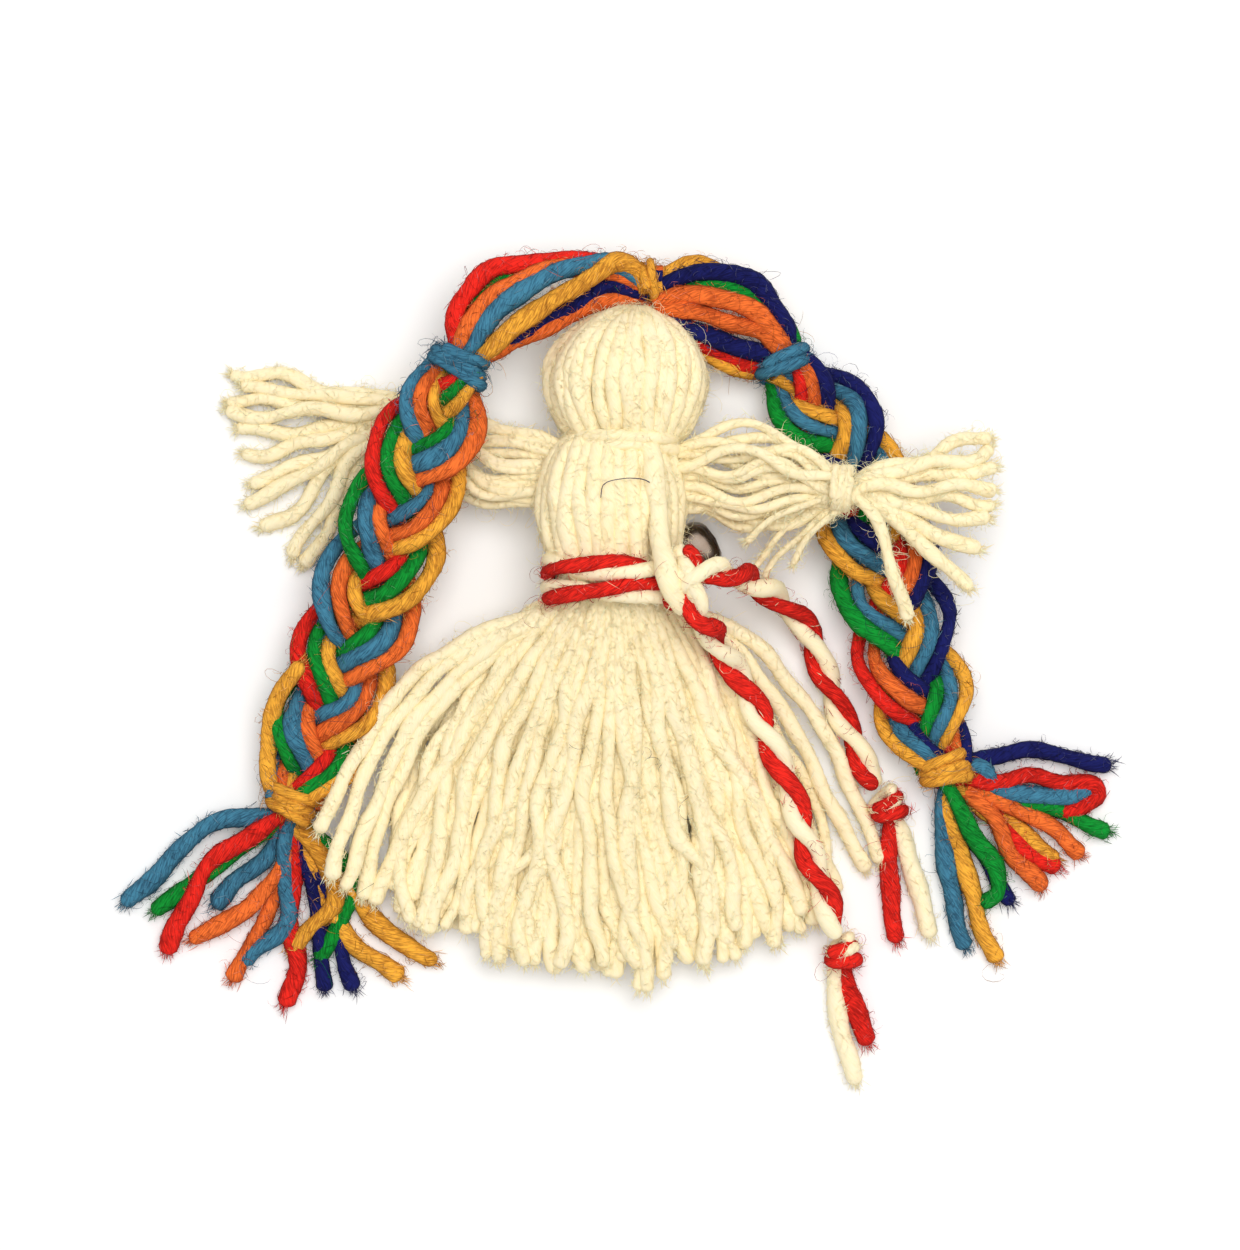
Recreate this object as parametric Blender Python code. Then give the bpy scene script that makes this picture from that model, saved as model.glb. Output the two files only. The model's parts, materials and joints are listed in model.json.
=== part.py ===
"""A yarn doll lying on its back: head, torso and skirt of one cream hank, two tied arms, two plaited pigtails,
a belt of twisted cord with two free tails, and a safety pin sewn to the back of the waist.

Metres. The origin is on the table under the middle of the skirt, +X to the right as seen from above,
+Y towards the head, +Z up."""
import math

import bmesh
import bpy
import numpy as np
from mathutils import Matrix, Vector

# Yarn and clearances
YARN = 0.0021            # one strand of wool
TOUCH = 0.0003           # gap left between pieces that touch
TABLE_GAP = 0.0001       # gap left under pieces that only just reach the table

# Body hank: head, torso and skirt, tied at the neck and at the waist
WAIST_Y = 0.0300         # under the middle of the belt
WAIST_WIDTH = 0.0122
WAIST_DEPTH = 0.0072
TORSO_X = -0.0007
TORSO_LENGTH = 0.0156
TORSO_WIDTH = 0.0168
TORSO_DEPTH = 0.0112
HEAD_X = 0.0008
HEAD_LENGTH = 0.0137
HEAD_WIDTH = 0.0178
HEAD_DEPTH = 0.0148
NECK_WIDTH = 0.0088
NECK_DEPTH = 0.0072
NECK_TIE = 0.0021
# Shares of the length from the neck, and of the way from the straight line between the ends to the bulge
HEAD_PROFILE_SHARES = ((0.0, 0.0), (0.04, 0.0), (0.1, 0.3), (0.22, 0.78), (0.42, 1.0), (0.64, 0.92),
                       (0.82, 0.58), (0.94, 0.1), (1.0, -0.55))
TORSO_PROFILE_SHARES = ((0.0, 0.0), (0.035, 0.0), (0.1, 0.32), (0.22, 0.8), (0.4, 1.0), (0.6, 0.72),
                        (0.74, 0.16), (0.8, 0.0), (1.0, 0.0))
HEAD_FLUTES = 16
TORSO_FLUTES = 14
FLUTE_DEPTH = 0.0005
POINTS_A_FLUTE = 3

# Skirt: a fan of strands below the belt, whose back comes down flat onto the table
SKIRT_LENGTH = 0.0440
SKIRT_LEFT_FAN_DEG = 41.0    # from straight down to the outermost strand's end
SKIRT_RIGHT_FAN_DEG = 36.0
SKIRT_LEFT_FLARE = 0.0220    # how far out the outermost strand bends down
SKIRT_RIGHT_FLARE = 0.0180
SKIRT_SHOULDER = 0.0068      # how far below the waist it bends down
SKIRT_HEM_HEIGHT = 0.0048
SKIRT_HEM_JAG = 0.0012
SKIRT_FLUTES = 13
SKIRT_STEP_SHARES = (0.0, 0.06, 0.13, 0.21, 0.3, 0.4, 0.52, 0.66, 0.82, 1.0)
SKIRT_TUCK_SHARE = 0.46      # share of the length at which the back has come down to the table

# Belt: a red and white twisted cord, two turns, a knot and two tails
BELT_CORD = 0.0027
BELT_KNOT_WIDTH = 0.0052
BELT_KNOT_HEIGHT = 0.0060
BELT_KNOT_DEPTH = 0.0034
BELT_KNOT_TURN_DEG = 42.0    # how far up from the right-hand side of the waist the knot sits
TAIL_CORD = 0.0032
TAIL_KNOT = 0.0046
TAIL_END = 0.0023
TAIL_POINT_STEP = 2.2        # cord diameters between the tube's points
# Each tail's own route from the belt knot to its end knot, over the skirt and down to the table
LEFT_TAIL_ROUTE = ((0.0093, 0.0254, 0.0152), (0.0101, 0.0243, 0.0136), (0.0109, 0.0231, 0.0114),
                   (0.0119, 0.0215, 0.0094), (0.0133, 0.0193, 0.0081), (0.0151, 0.0160, 0.0073),
                   (0.0172, 0.0114, 0.0067), (0.0192, 0.0064, 0.0062), (0.0208, 0.0014, 0.0058),
                   (0.0222, -0.0031, 0.0054), (0.0234, -0.0066, 0.0050), (0.0243, -0.0094, 0.0041))
RIGHT_TAIL_ROUTE = ((0.0117, 0.0305, 0.0152), (0.0131, 0.0303, 0.0133), (0.0146, 0.0297, 0.0106),
                    (0.0165, 0.0288, 0.0079), (0.0184, 0.0274, 0.0055), (0.0203, 0.0254, 0.0036),
                    (0.0219, 0.0227, 0.0025), (0.0231, 0.0196, 0.0020), (0.0244, 0.0162, 0.0019),
                    (0.0258, 0.0129, 0.0019), (0.0274, 0.0097, 0.0019), (0.0289, 0.0069, 0.0019))
# The red and the white ply below each end knot: heading and length of each
LEFT_TAIL_ENDS = ((-71.0, 0.0085), (-85.0, 0.0118))
RIGHT_TAIL_ENDS = ((-87.0, 0.0112), (-69.0, 0.0114))

# Safety pin, flat behind the waist
PIN_WIRE = 0.0007
PIN_COIL_X = -0.0075
PIN_COIL_Y = 0.0241
PIN_ANGLE_DEG = 30.0
PIN_LENGTH = 0.0168      # from the coil's centre to the cap's mouth
PIN_GAP = 0.0042         # between the two legs at the cap
PIN_COIL_WIDTH = 0.0034
PIN_POINT = 0.0030
CAP_LENGTH = 0.0044
CAP_WIDTH = 0.0062
CAP_WALL = 0.0004
STITCH_YARN = 0.0009
STITCH_WIDTH = 0.0044
STITCH_HEIGHT = 0.0066
STITCH_PLACE_SHARES = (0.16, 0.26)   # shares of the pin's length from the coil

# Arms: a hank through the torso, tied at the wrists, with the ends left loose as hands
SHOULDER_BALL = 0.0050
SHOULDER_OUT = 0.0004    # how far the shoulder's centre stands out of the torso's side
SLEEVE_DEPTH = 0.0042
SLEEVE_FLUTES = 6
SLEEVE_STEP_SHARES = (0.0, 0.14, 0.3, 0.52, 0.78, 1.0)
SLEEVE_SWELL_SHARES = (0.5, 0.52, 0.78, 1.0, 0.76, 0.42)
LEFT_SLEEVE_WIDTH = 0.0078
RIGHT_SLEEVE_WIDTH = 0.0092
LEFT_ARM_REACH = 0.0140
LEFT_ARM_RISE = 0.0071
RIGHT_ARM_REACH = 0.0170
RIGHT_ARM_DROP = 0.0018
WRIST_TIE = 0.0011
WRIST_WIDTH = 0.0036     # of the bundle inside the tie
HAND_LENGTH = 0.0188
# Each loose strand's heading, its share of the length, and how far it turns along its length
LEFT_HAND_STRAND_SHARES = ((167, 1.02, 0), (175, 0.98, -5), (183, 1.03, 0), (193, 0.93, 4), (203, 1.0, 0),
                           (213, 0.96, -4), (222, 1.0, 0), (231, 0.94, 3))
RIGHT_HAND_STRAND_SHARES = ((21, 0.84, 0), (10, 0.8, 4), (0, 0.79, 0), (-12, 0.84, -4), (-24, 0.86, 0),
                            (-35, 0.85, 3), (-49, 0.8, -4), (-64, 0.75, 0))
RIGHT_HAND_DROP = 0.0020

# Hair: one bundle of coloured yarn over the head, tied at the crown and at both sides
CROWN_X = 0.0036
CROWN_Z = 0.0082
CROWN_WIDTH = 0.0034
CROWN_TIE = 0.0013
LOCK_WIDTH = 0.0074
LOCK_DEPTH = 0.0062
LOCK_FLUTES = 7
LOCK_STEPS = 9
# Shares of each lock's reach sideways and of its drop, from the crown to the side tie
LEFT_LOCK_SHARES = ((0.0, 0.0), (0.26, -0.04), (0.55, 0.08), (0.79, 0.31), (0.94, 0.63), (1.0, 1.0))
RIGHT_LOCK_SHARES = ((0.0, 0.0), (0.3, 0.06), (0.57, 0.26), (0.81, 0.58), (1.0, 1.0))
LEFT_LOCK_REACH = 0.0212
LEFT_LOCK_DROP = 0.0092
RIGHT_LOCK_REACH = 0.0147
RIGHT_LOCK_DROP = 0.0089
SIDE_TIE = 0.0016
SIDE_CORE = 0.0046       # the bundle inside the side tie

# Plaits of three legs each, from the side ties to the end ties
PLAIT_PITCH = 0.0240     # length in which each leg comes back to where it was
PLAIT_SWAY = 0.0041      # each leg's swing to either side
PLAIT_RISE = 0.0023      # each leg's swing up and down
LEG_WIDTH = 0.0039
LEG_DEPTH = 0.0026
LEG_SIDES = 8
LEG_STEPS = 25
PLAIT_GATHER = 0.0085    # length over which the legs gather towards a tie
PLAIT_GATHER_SHARE = 0.62
LEFT_PLAIT_LENGTH = 0.0520
LEFT_PLAIT_LEAN_DEG = -21.0
LEFT_PLAIT_BOW = 0.0004
RIGHT_PLAIT_LENGTH = 0.0485
RIGHT_PLAIT_LEAN_DEG = 21.8
RIGHT_PLAIT_BOW = 0.0028
END_TIE = 0.0016
END_CORE = 0.0036        # the bundle inside the end tie

# Tassels: the cut ends below the end ties
TASSEL_LENGTH = 0.0196
LEFT_TASSEL_STRAND_SHARES = ((211, 1.0, 0), (220, 0.92, -4), (230, 0.98, 0), (240, 0.86, 3), (251, 0.95, 0),
                             (261, 0.86, -3), (270, 1.04, 0), (279, 0.96, 0), (287, 0.98, 2),
                             (295, 0.92, 3))
RIGHT_TASSEL_STRAND_SHARES = ((3, 0.88, 0), (-8, 0.82, -6), (-19, 0.92, 0), (-30, 0.88, 0), (-40, 0.8, 3),
                              (-50, 0.82, 0), (-60, 0.8, 0), (-69, 0.77, -3), (-76, 1.03, 0), (-84, 0.95, 3))
STRAND_SIDES = 6
STRAND_STEP_SHARES = (0.0, 0.2, 0.45, 0.72, 1.0)

RING_STEPS = 16
BELT_STEPS = 24
RING_SIDES = 6
BALL_STEPS = 12

CREAM = (0.93, 0.85, 0.66, 1.0)
RED = (0.78, 0.03, 0.03, 1.0)
RED_AND_WHITE = (0.86, 0.42, 0.36, 1.0)
TEAL = (0.06, 0.24, 0.36, 1.0)
GOLD = (0.92, 0.42, 0.05, 1.0)
ORANGE = (0.93, 0.2, 0.05, 1.0)
GREEN = (0.02, 0.36, 0.07, 1.0)
NICKEL = (0.6, 0.58, 0.54, 1.0)

# Heights, each worked out from what the piece rests on
PIN_LEG_Z = TABLE_GAP + STITCH_YARN + TOUCH + PIN_WIRE / 2
PIN_NEEDLE_Z = PIN_LEG_Z + PIN_WIRE + TOUCH
BACK_Z = PIN_NEEDLE_Z + PIN_WIRE / 2 + TOUCH
WAIST_Z = BACK_Z + BELT_CORD + TOUCH + WAIST_DEPTH / 2
TORSO_Z = BACK_Z + TORSO_DEPTH / 2
HEAD_Z = HEAD_DEPTH / 2
NECK_Z = (HEAD_Z + TORSO_Z) / 2
PLAIT_HALF_HEIGHT = PLAIT_RISE + LEG_DEPTH / 2
SIDE_TIE_HALF = SIDE_CORE / 2 + TOUCH + SIDE_TIE
END_TIE_HALF = END_CORE / 2 + TOUCH + END_TIE
WRIST_HALF = WRIST_WIDTH / 2 + TOUCH + WRIST_TIE
END_Z = END_TIE_HALF + TABLE_GAP
RIGHT_SIDE_Z = SIDE_TIE_HALF + TABLE_GAP
LEFT_WRIST_Z = WRIST_HALF + TABLE_GAP
LEFT_SIDE_Z = LEFT_WRIST_Z + WRIST_HALF + TOUCH + PLAIT_HALF_HEIGHT
RIGHT_WRIST_Z = RIGHT_SIDE_Z + PLAIT_HALF_HEIGHT + TOUCH + WRIST_HALF

# Places along the body, in plan
NECK_X = (TORSO_X + HEAD_X) / 2
NECK_Y = WAIST_Y + TORSO_LENGTH
CROWN_Y = NECK_Y + HEAD_LENGTH + CROWN_WIDTH / 2 + TOUCH + CROWN_TIE + TOUCH
BELT_STEP = BELT_CORD + TOUCH
SHOULDER_DROP = NECK_TIE / 2 + TOUCH + SHOULDER_BALL / 2


def material(name, colour, roughness=0.9, metallic=0.0):
    """A Principled BSDF in one colour."""
    made = bpy.data.materials.get(name) or bpy.data.materials.new(name)
    made.use_nodes = True
    shader = made.node_tree.nodes["Principled BSDF"]
    shader.inputs["Base Color"].default_value = colour
    shader.inputs["Roughness"].default_value = roughness
    shader.inputs["Metallic"].default_value = metallic
    made.diffuse_color = colour
    return made


def link_object(name, data):
    """Links a new object into the scene."""
    made = bpy.data.objects.new(name, data)
    bpy.context.scene.collection.objects.link(made)
    return made


def add_node(name, data, look, body):
    """A named piece with its material, under the empty that its body turns about."""
    made = link_object(name, data)
    data.materials.append(look)
    made.parent = body
    made.matrix_parent_inverse = Matrix.Translation(-world_place(body))
    return made


def world_place(empty):
    """Where an empty stands: its own location added to those it hangs under."""
    place = Vector((0.0, 0.0, 0.0))
    while empty:
        place += empty.location
        empty = empty.parent
    return place


def helper(name, data):
    """A mesh that only joins or cuts another piece."""
    made = link_object(name, data)
    made.hide_render = True
    made.display_type = "WIRE"
    return made


def body_empty(name, place, parent=None):
    """The empty that a moving body turns about, hung under its parent's."""
    made = link_object(name, None)
    made.location = Vector(place) - world_place(parent)
    made.parent = parent
    return made


def mesh_from_rings(name, rings, closed_path=False):
    """A skin over rings of points, with a fan of faces at each end unless the path closes on itself."""
    made = bmesh.new()
    loops = [[made.verts.new(point) for point in ring] for ring in rings]
    count = len(loops[0])
    pairs = list(zip(loops, loops[1:]))
    if closed_path:
        pairs.append((loops[-1], loops[0]))
    for first, second in pairs:
        for i in range(count):
            j = (i + 1) % count
            made.faces.new((first[i], first[j], second[j], second[i]))
    if not closed_path:
        for loop, ring in ((loops[0], rings[0]), (loops[-1], rings[-1])):
            centre = made.verts.new(np.mean(np.array(ring), axis=0))
            for i in range(count):
                made.faces.new((loop[i], loop[(i + 1) % count], centre))
    return finish_mesh(name, made)


def finish_mesh(name, made):
    """Turns a bmesh into a smooth-shaded mesh with its faces pointing out."""
    bmesh.ops.recalc_face_normals(made, faces=made.faces)
    mesh = bpy.data.meshes.new(name)
    made.to_mesh(mesh)
    made.free()
    mesh.shade_smooth()
    mesh.set_sharp_from_angle(angle=math.radians(60))
    return mesh


def smooth_path(points, count):
    """count points at even steps of length on a Catmull-Rom curve through the points given."""
    points = np.array(points, float)
    ends = (2 * points[0] - points[1], 2 * points[-1] - points[-2])
    padded = np.vstack((ends[0], points, ends[1]))
    fine = []
    for a, b, c, d in zip(padded, padded[1:], padded[2:], padded[3:]):
        for t in np.linspace(0, 1, 24, endpoint=False):
            cubic = (3 * b - a - 3 * c + d) * t ** 3
            fine.append((2 * b + (c - a) * t + (2 * a - 5 * b + 4 * c - d) * t ** 2 + cubic) / 2)
    fine = np.array(fine + [points[-1]])
    run = run_along(fine)
    steps = np.linspace(0, run[-1], count)
    return np.stack([np.interp(steps, run, fine[:, k]) for k in range(3)], axis=1)


def run_along(points):
    """Length run from the first point to each point of a path."""
    steps = np.linalg.norm(np.diff(np.array(points), axis=0), axis=1)
    return np.concatenate(([0], np.cumsum(steps)))


def path_frames(points):
    """At each point of a path: the direction along it, across it in plan, and up."""
    along = np.gradient(points, axis=0)
    along /= np.linalg.norm(along, axis=1)[:, None]
    across = np.cross(along, (0.0, 0.0, 1.0))
    across /= np.linalg.norm(across, axis=1)[:, None]
    return along, across, np.cross(across, along)


def oval_rings(points, half_widths, half_depths, sides, flutes=0):
    """Oval sections square to a path, with shallow grooves between their flutes."""
    _, across, up = path_frames(points)
    turn = np.linspace(0, 2 * math.pi, sides, endpoint=False)
    groove = FLUTE_DEPTH * (1 - np.cos(flutes * turn)) / 2
    rings = []
    for point, side, top, half_width, half_depth in zip(points, across, up, half_widths, half_depths):
        wide = (half_width - groove) * np.cos(turn)
        deep = (half_depth - groove) * np.sin(turn)
        rings.append(point + wide[:, None] * side + deep[:, None] * top)
    return rings


def tube_mesh(name, points, width, sides=STRAND_SIDES, pointed=False):
    """A round closed tube along a path, its end drawn to a point where asked."""
    half = np.full(len(points), width / 2)
    if pointed:
        half[-1] /= 4
    return mesh_from_rings(name, oval_rings(np.array(points), half, half, sides))


def ball_mesh(name, centre, width):
    """A closed ball."""
    made = bmesh.new()
    bmesh.ops.create_uvsphere(made, u_segments=BALL_STEPS, v_segments=BALL_STEPS // 2, radius=width / 2)
    bmesh.ops.translate(made, vec=centre, verts=made.verts)
    return finish_mesh(name, made)


def ring_mesh(name, centre, axis, half_width, half_height, thickness, steps=RING_STEPS):
    """A winding: a round tube on an oval path square to a level axis, half_width across in plan."""
    axis = np.array((axis[0], axis[1], 0.0)) / math.hypot(axis[0], axis[1])
    across = np.array((axis[1], -axis[0], 0.0))
    up = np.array((0.0, 0.0, 1.0))
    section = np.linspace(0, 2 * math.pi, RING_SIDES, endpoint=False)
    rings = []
    for turn in np.linspace(0, 2 * math.pi, steps, endpoint=False):
        out = math.cos(turn) * half_height * across + math.sin(turn) * half_width * up
        out /= np.linalg.norm(out)
        middle = np.array(centre) + half_width * math.cos(turn) * across + half_height * math.sin(turn) * up
        rings.append([middle + thickness / 2 * (math.cos(s) * out + math.sin(s) * axis) for s in section])
    return mesh_from_rings(name, rings, closed_path=True)


def join_shapes(target, others):
    """Boolean union of helper shapes into a piece."""
    for other in others:
        joining = target.modifiers.new("join " + other.name, "BOOLEAN")
        joining.operation = "UNION"
        joining.object = other


def cut_shape(target, cutter):
    """Boolean cut of a helper shape out of a piece."""
    cutting = target.modifiers.new("cut " + cutter.name, "BOOLEAN")
    cutting.operation = "DIFFERENCE"
    cutting.object = cutter


def spindle(name, stations, profile, flutes):
    """A fluted bundle along Y. stations are its start, bulge and end, each as x, y, z, width and depth, and
    profile gives places along it with how far each is from the straight line between the ends to the bulge."""
    start, bulge, end = (np.array(station) for station in stations)
    points, widths, depths = [], [], []
    for along, swell in profile:
        straight = start + (end - start) * along
        x, _, z, width, depth = straight + (bulge - straight) * swell
        points.append((x, straight[1], z))
        widths.append(width / 2)
        depths.append(depth / 2)
    points, sides = np.array(points), flutes * POINTS_A_FLUTE
    turn = np.linspace(0, 2 * math.pi, sides, endpoint=False)
    groove = FLUTE_DEPTH * (1 - np.cos(flutes * (turn + math.pi / 2))) / 2
    rings = []
    for point, half_width, half_depth in zip(points, widths, depths):
        ring = np.tile(point, (sides, 1))
        ring[:, 0] += (half_width - groove) * np.cos(turn)
        ring[:, 2] += (half_depth - groove) * np.sin(turn)
        rings.append(ring)
    return mesh_from_rings(name, rings)


def torso_half_width(drop):
    """Half width of the torso at a distance below the neck."""
    share = drop / TORSO_LENGTH
    straight = (NECK_WIDTH + (WAIST_WIDTH - NECK_WIDTH) * share) / 2
    swell = np.interp(share, *zip(*TORSO_PROFILE_SHARES))
    return straight + (TORSO_WIDTH / 2 - straight) * swell


def shoulder_place(side):
    """Centre of the ball in which an arm's bundle leaves the torso."""
    out = torso_half_width(SHOULDER_DROP) + SHOULDER_OUT
    height = NECK_Z + (TORSO_Z - NECK_Z) * SHOULDER_DROP / TORSO_LENGTH
    return np.array((TORSO_X + side * out, NECK_Y - SHOULDER_DROP, height))


def make_head(body, cream):
    """Folded loops of the body hank, from the neck tie up to the crown."""
    stations = ((NECK_X, NECK_Y + TOUCH / 2, NECK_Z, NECK_WIDTH, NECK_DEPTH),
                (HEAD_X, NECK_Y, HEAD_Z, HEAD_WIDTH, HEAD_DEPTH),
                (HEAD_X, NECK_Y + HEAD_LENGTH, HEAD_Z, NECK_WIDTH, NECK_DEPTH))
    add_node("head", spindle("head", stations, HEAD_PROFILE_SHARES, HEAD_FLUTES), cream, body)


def make_torso(body, cream):
    """The body hank from the neck to the waist, with a socket in each side for an arm."""
    stations = ((NECK_X, NECK_Y - TOUCH / 2, NECK_Z, NECK_WIDTH, NECK_DEPTH),
                (TORSO_X, NECK_Y, TORSO_Z, TORSO_WIDTH, TORSO_DEPTH),
                (0.0, WAIST_Y + TOUCH / 2, WAIST_Z, WAIST_WIDTH, WAIST_DEPTH))
    torso = add_node("torso", spindle("torso", stations, TORSO_PROFILE_SHARES, TORSO_FLUTES), cream, body)
    for side, name in ((-1, "left"), (1, "right")):
        socket = ball_mesh(name + "_arm_socket", shoulder_place(side), SHOULDER_BALL + 2 * TOUCH)
        cut_shape(torso, helper(name + "_arm_socket", socket))


def skirt_strand(across, along):
    """Plan position on the skirt: across runs from -1 to 1 over the fan, along from 0 below the belt to 1."""
    fan_middle = (SKIRT_RIGHT_FAN_DEG - SKIRT_LEFT_FAN_DEG) / 2
    fan_half = (SKIRT_RIGHT_FAN_DEG + SKIRT_LEFT_FAN_DEG) / 2
    fan = math.radians(fan_middle * abs(across) + fan_half * across)
    flare = SKIRT_RIGHT_FLARE if across > 0 else SKIRT_LEFT_FLARE
    reach = SKIRT_LENGTH + SKIRT_HEM_JAG * math.cos(math.pi * SKIRT_FLUTES * (across + 1))
    start = np.array((across * WAIST_WIDTH / 2, WAIST_Y - BELT_STEP - TOUCH))
    end = np.array((reach * math.sin(fan), WAIST_Y - reach * math.cos(fan)))
    inner_bend, outer_bend = WAIST_Y - SKIRT_LENGTH / 2, WAIST_Y - SKIRT_SHOULDER
    bend = np.array((across * flare, inner_bend + (outer_bend - inner_bend) * abs(across) ** 1.5))
    return (1 - along) ** 2 * start + 2 * along * (1 - along) * bend + along ** 2 * end


def skirt_heights(across, along):
    """Front and back heights of the skirt there: an oval at the waist, a low dome on a flat back at the hem."""
    dome = math.sqrt(max(0.0, 1 - abs(across) ** 2.4))
    fall = max(0.0, 1 - along / SKIRT_TUCK_SHARE) ** 1.3
    edge = YARN / 2 + (WAIST_Z - YARN / 2) * fall
    waist_top = WAIST_Z + WAIST_DEPTH / 2
    middle_top = waist_top + (SKIRT_HEM_HEIGHT - waist_top) * along ** 0.9
    groove = FLUTE_DEPTH * (1 - math.cos(math.pi * SKIRT_FLUTES * (across + 1))) / 2 * min(1.0, 3 * dome)
    front = edge + (middle_top - edge) * dome - groove * (along > 0)
    sag = YARN + (WAIST_DEPTH / 2 - YARN) * fall
    return front, max(0.0, edge - sag * dome)


def make_skirt(body, cream):
    """The body hank's loose ends below the belt."""
    across_steps = np.linspace(-1, 1, SKIRT_FLUTES * POINTS_A_FLUTE + 1)
    made = bmesh.new()
    rows = []
    waist_step = (WAIST_Y - TOUCH / 2) - (WAIST_Y - BELT_STEP - TOUCH)
    for number, along in enumerate((0.0,) + SKIRT_STEP_SHARES):
        front_row, back_row = [], []
        for across in across_steps:
            x, y = skirt_strand(across, along)
            y += waist_step * (number == 0)
            front, back = skirt_heights(across, along)
            front_row.append(made.verts.new((x, y, front)))
            at_side = abs(across) == 1.0
            back_row.append(front_row[-1] if at_side else made.verts.new((x, y, back)))
        rows.append((front_row, back_row))
    for (front, back), (next_front, next_back) in zip(rows, rows[1:]):
        for i in range(len(across_steps) - 1):
            made.faces.new((front[i], front[i + 1], next_front[i + 1], next_front[i]))
            made.faces.new((back[i + 1], back[i], next_back[i], next_back[i + 1]))
    for front, back in (rows[0], rows[-1]):
        made.faces.new((front[0], front[1], back[1]))
        for i in range(1, len(across_steps) - 2):
            made.faces.new((front[i], front[i + 1], back[i + 1], back[i]))
        made.faces.new((front[-2], front[-1], back[-2]))
    return add_node("skirt", finish_mesh("skirt", made), cream, body)


def make_neck_tie(body, cream):
    """Cream yarn wound round the neck."""
    clear = TOUCH + NECK_TIE / 2
    mesh = ring_mesh("neck_tie", (NECK_X, NECK_Y, NECK_Z), (0, -1), NECK_WIDTH / 2 + clear,
                     NECK_DEPTH / 2 + clear, NECK_TIE)
    add_node("neck_tie", mesh, cream, body)


def make_belt(body, cord):
    """Two turns of cord side by side, and the knot that sits on both at the front."""
    half_width = WAIST_WIDTH / 2 + TOUCH + BELT_CORD / 2
    half_height = WAIST_DEPTH / 2 + TOUCH + BELT_CORD / 2
    for name, y in (("belt_turn_upper", WAIST_Y + BELT_STEP / 2), ("belt_turn_lower", WAIST_Y - BELT_STEP / 2)):
        mesh = ring_mesh(name, (0.0, y, WAIST_Z), (0, -1), half_width, half_height, BELT_CORD, BELT_STEPS)
        add_node(name, mesh, cord, body)
    turn = math.radians(BELT_KNOT_TURN_DEG)
    seat = Vector((half_width * math.cos(turn), WAIST_Y, WAIST_Z + half_height * math.sin(turn)))
    out = Vector((half_height * math.cos(turn), 0.0, half_width * math.sin(turn))).normalized()
    knot = ball_mesh("belt_knot", (0.0, 0.0, 0.0), 1.0)
    knot.transform(Matrix.Diagonal((BELT_KNOT_WIDTH, BELT_KNOT_HEIGHT, BELT_KNOT_DEPTH, 1.0)))
    knot.transform(Vector((0.0, 0.0, 1.0)).rotation_difference(out).to_matrix().to_4x4())
    knot.transform(Matrix.Translation(seat + out * (BELT_CORD / 2 + TOUCH + BELT_KNOT_DEPTH / 2)))
    add_node("belt_knot", knot, cord, body)


def make_tail(name, route, ends, body, looks):
    """A free tail of the belt: its cord, the knot that stops it, and the two plies that come out below."""
    count = round(run_along(route)[-1] / (TAIL_POINT_STEP * TAIL_CORD)) + 1
    curve = bpy.data.curves.new(name, "CURVE")
    curve.dimensions = "3D"
    curve.bevel_depth = TAIL_CORD / 2
    curve.bevel_resolution = 2
    curve.use_fill_caps = True
    spline = curve.splines.new("POLY")
    points = smooth_path(route, count)
    spline.points.add(count - 1)
    for point, place in zip(spline.points, points):
        point.co = (*place, 1.0)
    add_node(name, curve, looks["cord"], body)
    along = points[-1] - points[-2]
    along /= np.linalg.norm(along)
    knot_half = TAIL_KNOT / 2
    knot_at = points[-1] + along * (knot_half + TOUCH)
    knot_at[2] = knot_half + TABLE_GAP
    add_node(name + "_knot", ball_mesh(name + "_knot", knot_at, TAIL_KNOT), looks["red"], body)
    low = TAIL_END / 2 + TABLE_GAP
    middle = math.radians(sum(heading for heading, length in ends) / len(ends))
    onward = np.array((math.cos(middle), math.sin(middle), 0.0))
    sideways = np.array((-onward[1], onward[0], 0.0))
    for colour, (heading, length) in zip(("red", "white"), ends):
        turn = math.radians(heading)
        out = np.array((math.cos(turn), math.sin(turn), 0.0))
        side = np.sign(out @ sideways)
        start = np.array((knot_at[0], knot_at[1], low)) + onward * (knot_half + TOUCH)
        start += sideways * side * (TAIL_END + TOUCH) / 2
        tube = tube_mesh(f"{name}_end_{colour}", start + out * length * np.linspace(0, 1, 4)[:, None], TAIL_END)
        add_node(f"{name}_end_{colour}", tube, looks[colour], body)


def pin_place(along, across, z):
    """A point of the safety pin: along it from the coil, across it towards the needle, and its height."""
    turn = math.radians(PIN_ANGLE_DEG)
    return np.array((PIN_COIL_X + along * math.cos(turn) - across * math.sin(turn),
                     PIN_COIL_Y + along * math.sin(turn) + across * math.cos(turn), z))


def pin_wire(side, z, reach):
    """Wire on one level: three quarters of a turn about the coil's axis, then a straight leg to its end."""
    half = (PIN_COIL_WIDTH - PIN_WIRE) / 2
    route = [pin_place(half * math.cos(turn), side * half * math.sin(turn), z)
             for turn in np.radians(np.linspace(360, 90, 10))]
    for along in np.linspace(0, reach, 4)[1:]:
        route.append(pin_place(along, side * (half + (PIN_GAP / 2 - half) * along / reach), z))
    return route


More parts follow.
